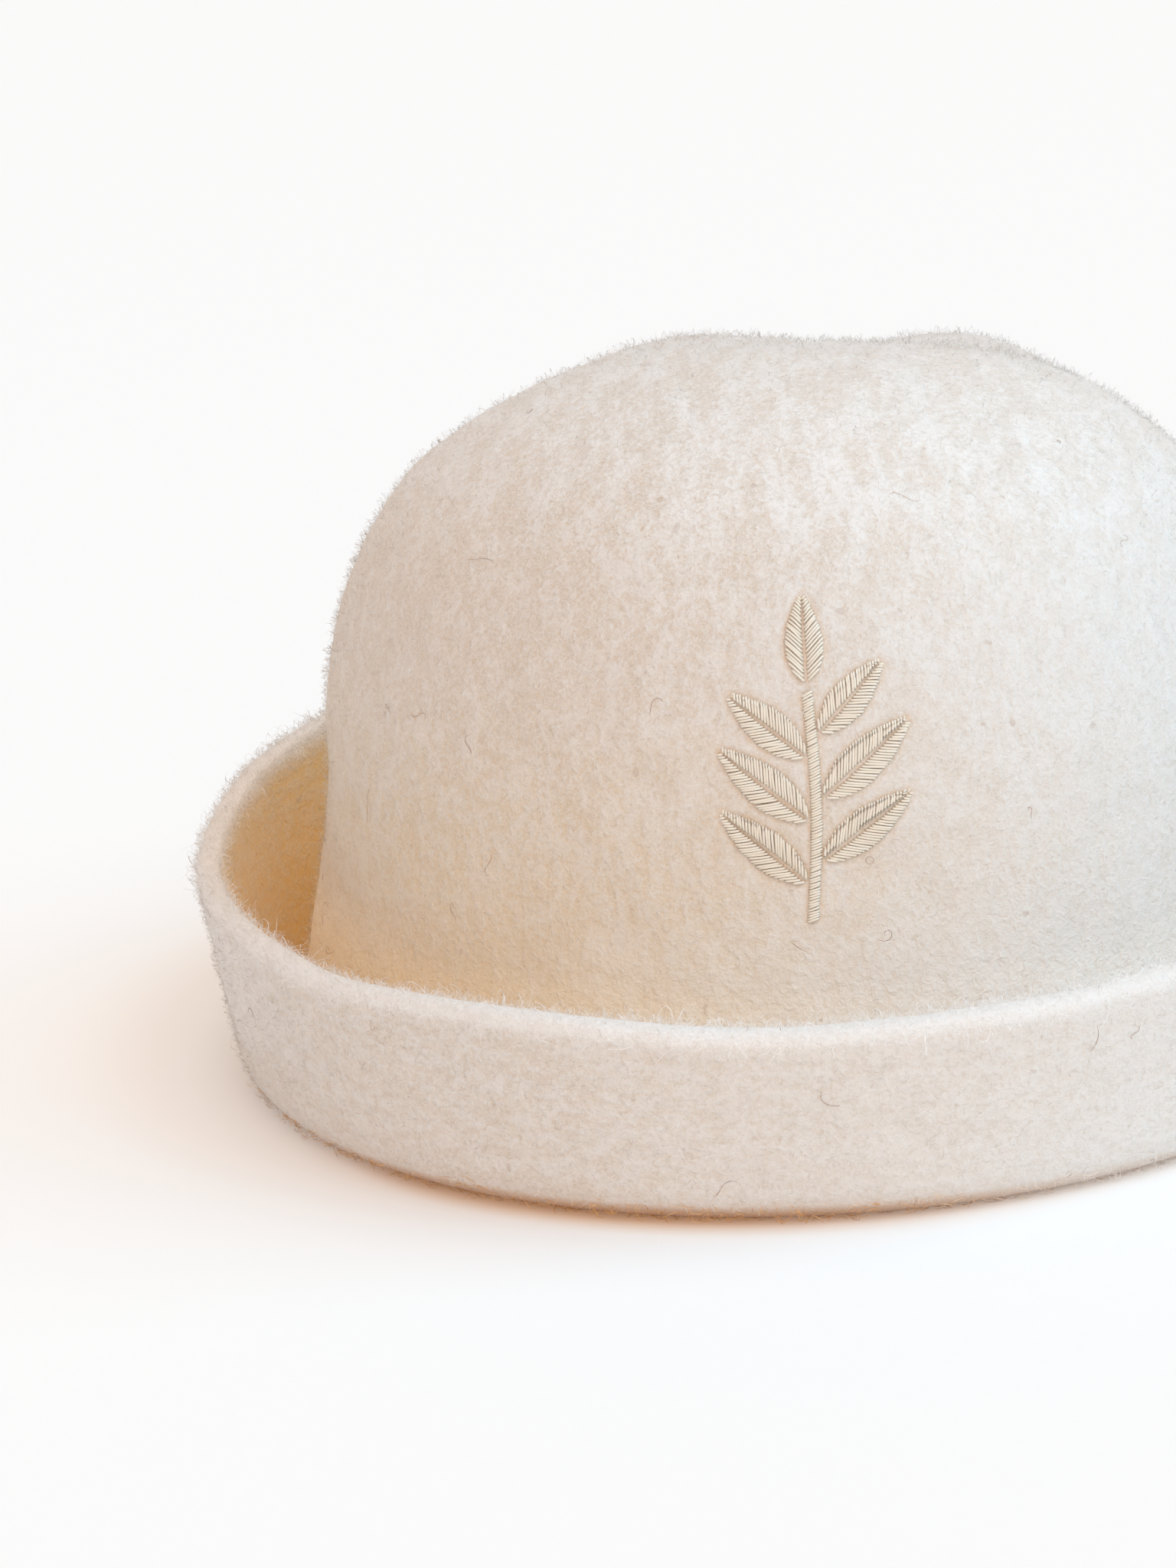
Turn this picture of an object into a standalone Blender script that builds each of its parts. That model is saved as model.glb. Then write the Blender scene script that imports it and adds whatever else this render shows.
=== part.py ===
"""A felt sauna hat: a tall bowler crown whose lower edge is turned up into a flaring brim.

Metres, +Z up. The front of the hat faces -Y and its left side, as a viewer sees it, is -X.
The hat stands at Z = 0 on the fold between crown and brim. The crown, the fold and the brim
are one piece of moulded wool felt. A sprig of leaves in satin stitch sits on the crown's front.
"""

import math
from typing import NamedTuple

import bmesh
import bpy
from mathutils import Vector

# Felt
FELT = 0.0030  # thickness
CUT_EDGE_ROUNDING = 0.0009  # on both corners of the rim's cut edge

# Crown, measured on its outside
CROWN_HALF_WIDTH = 0.0895  # at the shoulder
OVAL = 0.0072  # by how much the half length, front to back, exceeds the half width
HAT_HEIGHT = 0.1322
SHOULDER_HEIGHT = 0.0580  # the wall ends and the dome begins
DOME_POWER = 2.35  # 2 makes an ellipse, more a squarer dome
WALL_SPLAY = 0.0098  # by how much the wall is wider at the floor than at the shoulder
SPLAY_POWER = 1.4  # 1 makes a straight wall, more one that curves out towards the floor

# Fold and brim, measured on the middle of the felt
FOOT_WIDTH = 0.0030  # flat ring that the hat rests on
WALL_FOLD_RADIUS = 0.0032
BRIM_FOLD_RADIUS = 0.0050
BRIM_FLARE = 0.145  # outward run of the brim for each unit of height
RIM_HEIGHT = 0.0440  # mean height of the rim above the floor
LEVEL_WITHIN = 1e-6  # the fold lies flat where its height is within this of its lowest

# Steps of the faceted surface
STEPS_AROUND = 72
STEPS_DOME = 11
STEPS_WALL = 5
STEPS_FOLD = 4
STEPS_BRIM = 4


class Wave(NamedTuple):
    """A regular rise and fall of the rim."""

    count: int  # crests round the hat
    height: float
    crest: float  # where one crest is, in degrees from +X towards +Y


RIM_WAVES = (
    Wave(count=1, height=0.0088, crest=92.0),
    Wave(count=2, height=0.0008, crest=-45.0),
    Wave(count=3, height=0.0008, crest=0.0),
    Wave(count=5, height=0.0004, crest=10.0),
)


class Dent(NamedTuple):
    """A soft hollow, or with a negative depth a soft swelling, in the felt."""

    x: float
    y: float
    z: float
    depth: float
    spread: float  # distance from the centre at which it has all but ended


DENTS = (
    Dent(x=0.012, y=-0.010, z=0.132, depth=0.0016, spread=0.036),
    Dent(x=-0.090, y=0.012, z=0.082, depth=0.0010, spread=0.045),
    Dent(x=0.078, y=-0.048, z=0.070, depth=0.0012, spread=0.050),
    Dent(x=-0.045, y=0.082, z=0.075, depth=0.0014, spread=0.055),
    Dent(x=0.050, y=0.070, z=0.100, depth=-0.0010, spread=0.045),
    Dent(x=-0.040, y=-0.115, z=0.025, depth=-0.0008, spread=0.040),
    Dent(x=0.100, y=0.060, z=0.030, depth=0.0012, spread=0.045),
)

HELD_HEIGHT = 0.007  # up to here no dent reaches
FREE_HEIGHT = 0.020  # over this height above it the dents grow to their full depth

# Satin-stitched sprig, in a plane seen from the front: x across, z up
THREAD_GAP = 0.0003  # between the felt and the underside of a stitched field
THREAD_THICKNESS = 0.0007
FIELD_EDGE = 0.35  # thickness at a field's edges as a share of the full thickness
SPRIG_X = 0.0020
SPRIG_FOOT_Z = 0.0465
STEM_LENGTH = 0.0370
STEM_HALF_WIDTH = 0.0010
STEM_SWAY = 0.0010  # by how much the stem bows to one side
STEM_STEPS = 8
LEAF_STEPS = 6
FIELD_STEPS_ACROSS = 3
LEAF_STAND_OFF = 0.0019  # from the stem's middle to the base of a leaf
LEAF_TIP_SHARE = 0.12  # blunt end of a leaf as a share of its half width


class Leaf(NamedTuple):
    """A leaf of the sprig."""

    name: str
    along: float  # share of the stem's length at which it sits
    lean: float  # degrees from the stem's direction, to the right
    length: float
    half_width: float


LEAVES = (
    Leaf(name="leaf_left_low", along=0.14, lean=-54.0, length=0.0180, half_width=0.0035),
    Leaf(name="leaf_right_low", along=0.24, lean=50.0, length=0.0180, half_width=0.0035),
    Leaf(name="leaf_left_middle", along=0.42, lean=-52.0, length=0.0185, half_width=0.0037),
    Leaf(name="leaf_right_middle", along=0.52, lean=50.0, length=0.0185, half_width=0.0037),
    Leaf(name="leaf_left_top", along=0.70, lean=-48.0, length=0.0160, half_width=0.0034),
    Leaf(name="leaf_right_top", along=0.80, lean=48.0, length=0.0150, half_width=0.0033),
    Leaf(name="leaf_tip", along=1.0, lean=3.0, length=0.0130, half_width=0.0034),
)


class Station(NamedTuple):
    """A point of the felt's middle line, seen in section, with the way the line runs there."""

    half_width: float
    height: float
    run: float  # outward part of the line's direction
    rise: float  # upward part of the line's direction
    turn_up: float  # 0 on the crown, growing to 1 at the rim


def remove_everything():
    """Empties the scene."""
    for thing in list(bpy.data.objects):
        bpy.data.objects.remove(thing, do_unlink=True)


def dome_line():
    """Points of the dome's middle line, from just off its top down to the shoulder."""
    half = CROWN_HALF_WIDTH - FELT / 2
    tall = HAT_HEIGHT - FELT / 2 - SHOULDER_HEIGHT
    power = 2 / DOME_POWER
    points = []
    for step in range(1, STEPS_DOME + 1):
        angle = math.radians(90) * step / STEPS_DOME
        across = half * math.sin(angle) ** power
        up = SHOULDER_HEIGHT + tall * max(math.cos(angle), 0.0) ** power
        points.append((across, up))
    return points


def wall_line():
    """Points of the wall's middle line, from below the shoulder down to the fold."""
    half = CROWN_HALF_WIDTH - FELT / 2
    lowest = FELT / 2 + WALL_FOLD_RADIUS
    points = []
    for step in range(1, STEPS_WALL + 1):
        height = SHOULDER_HEIGHT + (lowest - SHOULDER_HEIGHT) * step / STEPS_WALL
        down = 1 - height / SHOULDER_HEIGHT
        points.append((half + WALL_SPLAY * down**SPLAY_POWER, height))
    return points


def arc(centre, radius, start, end, steps):
    """Points of an arc after its first one. Angles are in degrees, 0 pointing outward, 90 up."""
    points = []
    for step in range(1, steps + 1):
        angle = math.radians(start + (end - start) * step / steps)
        across = centre[0] + radius * math.cos(angle)
        up = centre[1] + radius * math.sin(angle)
        points.append((across, up))
    return points


def fold_line(start):
    """Points of the fold's middle line: down off the wall, along the floor and up into the brim."""
    floor = FELT / 2
    wall_centre = (start[0] + WALL_FOLD_RADIUS, floor + WALL_FOLD_RADIUS)
    brim_centre = (wall_centre[0] + FOOT_WIDTH, floor + BRIM_FOLD_RADIUS)
    lean = math.degrees(math.atan(BRIM_FLARE))
    down = arc(wall_centre, WALL_FOLD_RADIUS, 180, 270, STEPS_FOLD)
    up = arc(brim_centre, BRIM_FOLD_RADIUS, 270, 360 - lean, STEPS_FOLD)
    return down + [(brim_centre[0], floor)] + up


def brim_line(start):
    """Points of the brim's middle line above the fold, each with its share of the turn-up."""
    points = []
    for step in range(1, STEPS_BRIM + 1):
        share = step / STEPS_BRIM
        height = start[1] + (RIM_HEIGHT - start[1]) * share
        across = start[0] + BRIM_FLARE * (height - start[1])
        points.append((across, height, share))
    return points


def stations():
    """The felt's middle line from the top of the dome to the rim, level where it lies on the floor."""
    crown = dome_line() + wall_line()
    fold = fold_line(crown[-1])
    brim = brim_line(fold[-1])
    line = [(across, up, 0.0) for across, up in crown + fold] + brim
    found = []
    for index, (across, up, share) in enumerate(line):
        before = line[index - 1] if index else (0.0, HAT_HEIGHT - FELT / 2)
        after = line[min(index + 1, len(line) - 1)]
        way = Vector((after[0] - before[0], after[1] - before[1])).normalized()
        if up < FELT / 2 + LEVEL_WITHIN:
            way = Vector((1.0, 0.0))
        found.append(Station(across, up, way.x, way.y, share))
    return found


def rim_rise(angle):
    """How far the rim stands above its mean height at an angle round the hat, in radians."""
    return sum(wave.height * math.cos(wave.count * (angle - math.radians(wave.crest))) for wave in RIM_WAVES)


def press_dents(point, outward):
    """Moves a point of the felt along the given outward direction by the dents that reach it.

    The felt near the floor is held flat by the hat's weight.
    """
    freedom = min(max((point.z - HELD_HEIGHT) / FREE_HEIGHT, 0.0), 1.0)
    moved = point.copy()
    for dent in DENTS:
        distance = (point - Vector((dent.x, dent.y, dent.z))).length / dent.spread
        if distance < 1:
            moved -= outward * dent.depth * freedom * (1 - distance * distance) ** 2
    return moved


def felt_point(station, side, angle, inset=0.0):
    """A point on one face of the felt.

    side is 1 for the face that is outside on the crown and -1 for the other one. inset
    moves the point from the rim back into the brim.
    """
    lift = station.turn_up * rim_rise(angle)
    reach = side * FELT / 2
    half = station.half_width - station.rise * reach + BRIM_FLARE * lift - station.run * inset
    height = station.height + station.run * reach + lift - station.rise * inset
    extra = OVAL * min(1.0, half / CROWN_HALF_WIDTH)
    point = Vector((half * math.cos(angle), (half + extra) * math.sin(angle), height))
    outward = Vector((math.cos(angle), math.sin(angle), 0.0))
    if station.height > SHOULDER_HEIGHT:
        outward = Vector((point.x, point.y, point.z - SHOULDER_HEIGHT)).normalized()
    return press_dents(point, outward)


def felt_ring(mesh, station, side, inset=0.0):
    """A ring of vertices round the hat."""
    turn = 2 * math.pi / STEPS_AROUND
    return [mesh.verts.new(felt_point(station, side, step * turn, inset)) for step in range(STEPS_AROUND)]


def join_rings(mesh, rings):
    """Faces between each ring and the next."""
    for upper, lower in zip(rings, rings[1:]):
        for step in range(len(upper)):
            after = (step + 1) % len(upper)
            mesh.faces.new((upper[step], lower[step], lower[after], upper[after]))


def close_with_point(mesh, ring, point):
    """A fan of triangles from a ring to a point."""
    tip = mesh.verts.new(point)
    for step in range(len(ring)):
        mesh.faces.new((ring[step], ring[(step + 1) % len(ring)], tip))


def material(name, colour, roughness, metallic=0.0):
    """A plain material of the given colour."""
    made = bpy.data.materials.new(name)
    made.use_nodes = True
    surface = made.node_tree.nodes["Principled BSDF"]
    surface.inputs["Base Color"].default_value = (*colour, 1.0)
    surface.inputs["Roughness"].default_value = roughness
    surface.inputs["Metallic"].default_value = metallic
    return made


def finish_object(name, mesh, surface):
    """Makes an object of a mesh, with its faces turned out and shaded smooth."""
    bmesh.ops.recalc_face_normals(mesh, faces=mesh.faces)
    data = bpy.data.meshes.new(name)
    mesh.to_mesh(data)
    mesh.free()
    data.shade_smooth()
    data.set_sharp_from_angle(angle=math.radians(50))
    data.materials.append(surface)
    thing = bpy.data.objects.new(name, data)
    bpy.context.scene.collection.objects.link(thing)
    return thing


def build_felt():
    """The crown, fold and brim, one hollow piece of felt that is open below."""
    mesh = bmesh.new()
    line = stations()
    rim = line[-1]
    outside = [felt_ring(mesh, station, 1) for station in line[:-1]]
    inside = [felt_ring(mesh, station, -1) for station in line[:-1]]
    full, part = 1.0, 1 - CUT_EDGE_ROUNDING / (FELT / 2)
    cut_edge = [
        felt_ring(mesh, rim, full, CUT_EDGE_ROUNDING),
        felt_ring(mesh, rim, part),
        felt_ring(mesh, rim, -part),
        felt_ring(mesh, rim, -full, CUT_EDGE_ROUNDING),
    ]
    join_rings(mesh, outside + cut_edge + inside[::-1])
    for side, ring in ((1, outside[0]), (-1, inside[0])):
        top = Vector((0.0, 0.0, HAT_HEIGHT - FELT / 2 + side * FELT / 2))
        close_with_point(mesh, ring, press_dents(top, Vector((0.0, 0.0, 1.0))))
    return finish_object("felt_hat", mesh, material("wool_felt", (0.76, 0.66, 0.56), 0.95))


def crown_half_width(height):
    """Half width of the crown's outside at a height."""
    if height < SHOULDER_HEIGHT:
        return CROWN_HALF_WIDTH + WALL_SPLAY * (1 - height / SHOULDER_HEIGHT) ** SPLAY_POWER
    share = (height - SHOULDER_HEIGHT) / (HAT_HEIGHT - SHOULDER_HEIGHT)
    return CROWN_HALF_WIDTH * (1 - share**DOME_POWER) ** (1 / DOME_POWER)


def crown_front(x, z):
    """The point of the crown's outside that is seen at x and z from the front."""
    half = crown_half_width(z)
    half_length = half + OVAL * min(1.0, half / CROWN_HALF_WIDTH)
    y = -half_length * math.sqrt(1 - (x / half) ** 2)
    return press_dents(Vector((x, y, z)), Vector((x / half, y / half_length, 0.0)).normalized())


def crown_lift(x, z, lift):
    """The point that stands off the front of the crown by a distance, and that x and z name."""
    nudge = 0.0005
    across = crown_front(x + nudge, z) - crown_front(x - nudge, z)
    up = crown_front(x, z + nudge) - crown_front(x, z - nudge)
    return crown_front(x, z) + across.cross(up).normalized() * lift


def stem_point(share):
    """A point of the sprig's stem and the stem's direction there, in the plane of the front."""
    x = SPRIG_X + STEM_SWAY * math.sin(math.pi * share) - STEM_SWAY * (1 - share)
    z = SPRIG_FOOT_Z + STEM_LENGTH * share
    slope = STEM_SWAY * (math.pi * math.cos(math.pi * share) + 1) / STEM_LENGTH
    return Vector((x, z)), Vector((slope, 1.0)).normalized()


def leaf_swell(share):
    """Half width of a leaf at a share of its length, as a part of its greatest half width."""
    return LEAF_TIP_SHARE + (1 - LEAF_TIP_SHARE) * math.sin(math.pi * share**0.85) ** 0.9


def stitched_field(name, rows, surface):
    """A raised field of stitches on the front of the crown.

    rows holds, for each step along the field, the two points of its edges.
    """
    mesh = bmesh.new()
    top, under = [], []
    for left, right in rows:
        shares = [step / FIELD_STEPS_ACROSS for step in range(FIELD_STEPS_ACROSS + 1)]
        points = [left.lerp(right, share) for share in shares]
        swells = [FIELD_EDGE + (1 - FIELD_EDGE) * math.sin(math.pi * share) for share in shares]
        raised = [crown_lift(p.x, p.y, THREAD_GAP + THREAD_THICKNESS * s) for p, s in zip(points, swells)]
        top.append([mesh.verts.new(point) for point in raised])
        under.append([mesh.verts.new(crown_lift(p.x, p.y, THREAD_GAP)) for p in points])
    loops = [upper + lower[::-1] for upper, lower in zip(top, under)]
    join_rings(mesh, loops)
    for upper, lower in ((top[0], under[0]), (top[-1], under[-1])):
        for step in range(FIELD_STEPS_ACROSS):
            mesh.faces.new((upper[step], upper[step + 1], lower[step + 1], lower[step]))
    return finish_object(name, mesh, surface)


def build_stem(surface):
    """The stem of the sprig."""
    rows = []
    for step in range(STEM_STEPS + 1):
        point, way = stem_point(step / STEM_STEPS)
        across = Vector((way.y, -way.x)) * STEM_HALF_WIDTH
        rows.append((point - across, point + across))
    return stitched_field("stitched_stem", rows, surface)


def build_leaf(leaf, surface):
    """One leaf of the sprig."""
    root, stem_way = stem_point(leaf.along)
    turn = math.radians(-leaf.lean)
    way = Vector(
        (
            stem_way.x * math.cos(turn) - stem_way.y * math.sin(turn),
            stem_way.x * math.sin(turn) + stem_way.y * math.cos(turn),
        )
    )
    start = root + way * LEAF_STAND_OFF
    across = Vector((way.y, -way.x)) * leaf.half_width
    rows = []
    for step in range(LEAF_STEPS + 1):
        share = step / LEAF_STEPS
        middle = start + way * leaf.length * share
        swell = leaf_swell(share)
        rows.append((middle - across * swell, middle + across * swell))
    return stitched_field(f"stitched_{leaf.name}", rows, surface)


def main():
    """Builds the hat."""
    remove_everything()
    build_felt()
    thread = material("cream_thread", (0.80, 0.72, 0.60), 0.55)
    build_stem(thread)
    for leaf in LEAVES:
        build_leaf(leaf, thread)


main()
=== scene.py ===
"""Looks of a felt sauna hat: thick napped wool, a satin-stitched sprig and a pale studio.

Metres, +Z up. The front of the hat faces -Y and its left side, as a viewer sees it, is -X.
Each sub-assembly is a class that builds its meshes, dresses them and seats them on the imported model.
"""

import sys
import logging
import math
from collections.abc import Callable
from dataclasses import dataclass, field
from enum import Enum

import bpy
import numpy as np
from mathutils import Matrix, Vector


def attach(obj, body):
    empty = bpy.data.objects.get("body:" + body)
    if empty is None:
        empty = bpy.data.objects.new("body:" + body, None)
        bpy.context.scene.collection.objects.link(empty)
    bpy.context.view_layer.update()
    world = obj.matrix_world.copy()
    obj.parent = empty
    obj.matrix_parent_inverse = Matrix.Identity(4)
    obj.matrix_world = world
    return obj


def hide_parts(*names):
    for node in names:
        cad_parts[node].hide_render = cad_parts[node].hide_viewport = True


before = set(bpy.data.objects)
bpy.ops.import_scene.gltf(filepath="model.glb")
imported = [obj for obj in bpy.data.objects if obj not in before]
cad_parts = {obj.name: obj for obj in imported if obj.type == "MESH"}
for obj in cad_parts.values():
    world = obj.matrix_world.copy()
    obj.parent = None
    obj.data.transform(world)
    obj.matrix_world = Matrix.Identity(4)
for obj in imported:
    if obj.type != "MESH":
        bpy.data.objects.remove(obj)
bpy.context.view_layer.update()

Array = np.ndarray
Triple = tuple[float, float, float]
Colour = Triple
Span = tuple[float, float]

BODY = "root"
PHOTO_SIZE = (1536, 2048)
BLACK = (0.0, 0.0, 0.0)
TINY = 1e-12
BRIGHT_SIDE = (0.0, 0.050)  # across: where the studio's bright side begins, and where it is full
LINE_SHARPNESS = 9.0  # how narrow a winding line is against the gap beside it

log = logging.getLogger("sauna_hat")


class Wire:
    """A shader value that lays Math nodes as it is used in arithmetic."""

    def __init__(self, net: "Net", socket: bpy.types.NodeSocket) -> None:
        """Wraps an output socket.

        Args:
            net: the node tree that the socket belongs to.
            socket: the output that carries the value.
        """
        self.net = net
        self.socket = socket

    def __add__(self, other: "Wire | float") -> "Wire":
        """The sum of two values."""
        return self.net.maths("ADD", self, other)

    def __sub__(self, other: "Wire | float") -> "Wire":
        """This value less another."""
        return self.net.maths("SUBTRACT", self, other)

    def __mul__(self, other: "Wire | float") -> "Wire":
        """The product of two values."""
        return self.net.maths("MULTIPLY", self, other)

    def __rsub__(self, other: float) -> "Wire":
        """Another value less this one."""
        return self.net.maths("SUBTRACT", other, self)

    __radd__ = __add__
    __rmul__ = __mul__

    def at_least(self, other: "Wire | float") -> "Wire":
        """The greater of two values."""
        return self.net.maths("MAXIMUM", self, other)

    def at_most(self, other: "Wire | float") -> "Wire":
        """The lesser of two values."""
        return self.net.maths("MINIMUM", self, other)

    def distance_to(self, other: float) -> "Wire":
        """How far this value is from a number."""
        return self.net.maths("ABSOLUTE", self - other)

    def ease(self, start: float, end: float) -> "Wire":
        """A smooth climb from 0 to 1.

        Args:
            start: the value at which the climb begins.
            end: the value at which it ends. It may be less than start.

        Returns:
            0 before start, 1 after end and a smooth step between them.
        """
        share = self.net.maths("CLAMPED", self - start, 1.0 / (end - start))
        return share * share * (3.0 - 2.0 * share)


class Net:
    """The node tree of one finish, with ways to lay and link its nodes."""

    def __init__(self, tree: bpy.types.NodeTree) -> None:
        """Empties a node tree and takes it over.

        Args:
            tree: the tree of a material or a world.
        """
        self.tree = tree
        self.tree.nodes.clear()

    def node(
        self,
        kind: str,
        settings: dict[str, object] | None = None,
        sockets: dict[str, object] | None = None,
    ) -> bpy.types.Node:
        """Lays a node, first with its settings and then with its inputs.

        Args:
            kind: the node's type without its prefix, such as TexNoise.
            settings: attributes to set, such as a Math node's operation.
            sockets: an input's identifier or name, with a number, colour, vector or Wire for it.

        Returns:
            The new node.
        """
        made = self.tree.nodes.new(f"ShaderNode{kind}")
        for name, value in (settings or {}).items():
            setattr(made, name, value)
        for name, value in (sockets or {}).items():
            self._feed(self._named(made.inputs, name), value)
        return made

    @staticmethod
    def _named(sockets: "bpy.types.bpy_prop_collection", name: str) -> bpy.types.NodeSocket:
        """The socket that has this identifier or, failing that, this name.

        Args:
            sockets: a node's inputs or its outputs.
            name: the identifier or name.

        Returns:
            The socket.
        """
        for socket in sockets:
            if socket.identifier == name:
                return socket
        return sockets[name]

    def _feed(self, socket: bpy.types.NodeSocket, value: object) -> None:
        """Links a Wire or an output to an input, or sets the input's own value.

        Args:
            socket: the input.
            value: a Wire, an output, a number, a name or a colour.
        """
        if isinstance(value, Wire):
            self.tree.links.new(value.socket, socket)
        elif isinstance(value, bpy.types.NodeSocket):
            self.tree.links.new(value, socket)
        elif isinstance(value, tuple) and len(value) == 3 and socket.type == "RGBA":
            socket.default_value = (*value, 1.0)
        else:
            socket.default_value = value

    def maths(self, operation: str, a: "Wire | float", b: "Wire | float" = 0.0) -> Wire:
        """Lays a Math node.

        Args:
            operation: a Math operation, or CLAMPED for a product kept from 0 to 1.
            a: the first value.
            b: the second value, if the operation has one.

        Returns:
            The node's value.
        """
        settings = {"operation": operation}
        if operation == "CLAMPED":
            settings = {"operation": "MULTIPLY", "use_clamp": True}
        made = self.node("Math", settings, {"Value": a, "Value_001": b})
        return Wire(self, made.outputs[0])

    def value(self, kind: str, settings: dict[str, object], sockets: dict[str, object], output: str) -> Wire:
        """Lays a node and wraps one of its outputs.

        Args:
            kind: the node's type without its prefix.
            settings: attributes to set.
            sockets: inputs to set or link.
            output: the identifier or name of the output.

        Returns:
            The output.
        """
        return Wire(self, self._named(self.node(kind, settings, sockets).outputs, output))

    def attribute(self, name: str) -> Wire:
        """A number that the mesh stores at its points."""
        return self.value("Attribute", {"attribute_name": name}, {}, "Fac")

    def place(self) -> Wire:
        """The place on the hat, in metres."""
        return self.value("TexCoord", {}, {}, "Object")

    def _by_parts(self, operation: str, vector: Wire, numbers: Triple) -> Wire:
        """A vector worked on part by part with three numbers."""
        sockets = {"Vector": vector, "Vector_001": numbers}
        return self.value("VectorMath", {"operation": operation}, sockets, "Vector")

    def stretch(self, vector: Wire, scale: Triple) -> Wire:
        """A vector with each part multiplied by a number of its own."""
        return self._by_parts("MULTIPLY", vector, scale)

    def shift(self, vector: Wire, other: Triple) -> Wire:
        """The sum of two vectors."""
        return self._by_parts("ADD", vector, other)

    def noise(self, vector: Wire, grain: "Grain") -> Wire:
        """Soft cloudy noise.

        Args:
            vector: where it is read.
            grain: its size and kind.

        Returns:
            A value about 0.5.
        """
        sockets = {"Vector": vector, "Scale": 1.0 / grain.size, "Detail": grain.detail}
        sockets |= {"Roughness": grain.rough, "Distortion": grain.warp}
        return self.value("TexNoise", {"noise_dimensions": "3D"}, sockets, "Fac")

    def threads(self, vector: Wire, grain: "Grain") -> Wire:
        """Thin winding lines, like single fibres that lie over each other.

        Args:
            vector: where they are read.
            grain: the size and kind of their windings.

        Returns:
            1 on a line, falling to 0 between lines.
        """
        return 1.0 - (self.noise(vector, grain).distance_to(0.5) * LINE_SHARPNESS).at_most(1.0)

    def mix(self, factor: "Wire | float", a: object, b: object) -> Wire:
        """Mixes two colours.

        Args:
            factor: the share of the second colour.
            a: the first colour or Wire.
            b: the second colour or Wire.

        Returns:
            The mixed colour.
        """
        sockets = {"Factor_Float": factor, "A_Color": a, "B_Color": b}
        return self.value("Mix", {"data_type": "RGBA"}, sockets, "Result_Color")

    def bump(self, height: Wire, strength: float, depth: float, below: Wire | None = None) -> Wire:
        """A Bump node.

        Args:
            height: the relief, from 0 to 1.
            strength: how much of it shows.
            depth: metres that a height of 1 stands for.
            below: a normal that it adds to.

        Returns:
            The bumped normal.
        """
        sockets = {"Height": height, "Strength": strength, "Distance": depth}
        if below is not None:
            sockets["Normal"] = below
        return self.value("Bump", {}, sockets, "Normal")


class Finish:
    """A procedural material: each kind says what goes into its Principled surface."""

    name: str

    def sockets(self, net: Net) -> dict[str, object]:
        """The surface's inputs, with a number, colour or Wire for each."""
        raise NotImplementedError

    def make(self) -> bpy.types.Material:
        """Makes the material from the surface's inputs.

        Returns:
            The material.
        """
        made = bpy.data.materials.new(self.name)
        made.use_nodes = True
        net = Net(made.node_tree)
        shader = net.node("BsdfPrincipled", {}, self.sockets(net))
        net.node("OutputMaterial", {}, {"Surface": shader.outputs["BSDF"]})
        return made


@dataclass(frozen=True)
class Grain:
    """The size and kind of a cloudy noise."""

    size: float  # width of one cloud in metres
    detail: float  # how many finer layers are added
    rough: float  # how strong the finer layers are
    warp: float  # how far the pattern is swirled


@dataclass(frozen=True)
class FibreLayer:
    """One layer of thin winding lines in the felt's finish."""

    grain: Grain
    shift: Triple  # keeps the layers from lying on each other
    share: float


@dataclass(frozen=True)
class GroundTone:
    """How much of the felt's warm ground shows, as shares that add up."""

    # More ground on the shaded side, on the brim's shaded side and in the shade band is painted shade; less
    # of it towards the top is a painted highlight.
    patches: float = 0.24
    warm_patches: float = 0.36
    lofty_patches: float = 0.24
    brim_patches: float = 0.20  # share of the patches that the brim lacks
    warm: float = 0.15
    warm_lofty: float = 0.22
    lofty: float = 0.20  # less of it towards the top, a painted highlight
    deep: float = 0.42
    brim: float = 0.13
    brim_warm: float = 0.07

    def at(self, shows: Wire, turned: Wire, warmth: Wire, lofty: Wire, deep: Wire) -> Wire:
        """The share of the ground at each place.

        Args:
            shows: the patches in which the ground shows.
            turned: 1 on the brim and 0 on the crown.
            warmth: painted shade by side, 1 on the hat's shaded side and 0 on its bright side.
            lofty: 1 at the top of the crown.
            deep: 1 in the crown's band of painted shade.

        Returns:
            The share.
        """
        patches = self.patches + warmth * self.warm_patches + lofty * self.lofty_patches
        even = self.warm + warmth * warmth * lofty * self.warm_lofty - lofty * self.lofty
        tone = shows * patches * (1.0 - turned * self.brim_patches) + warmth * even
        return tone + deep * self.deep + turned * (self.brim + warmth * self.brim_warm)


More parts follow.
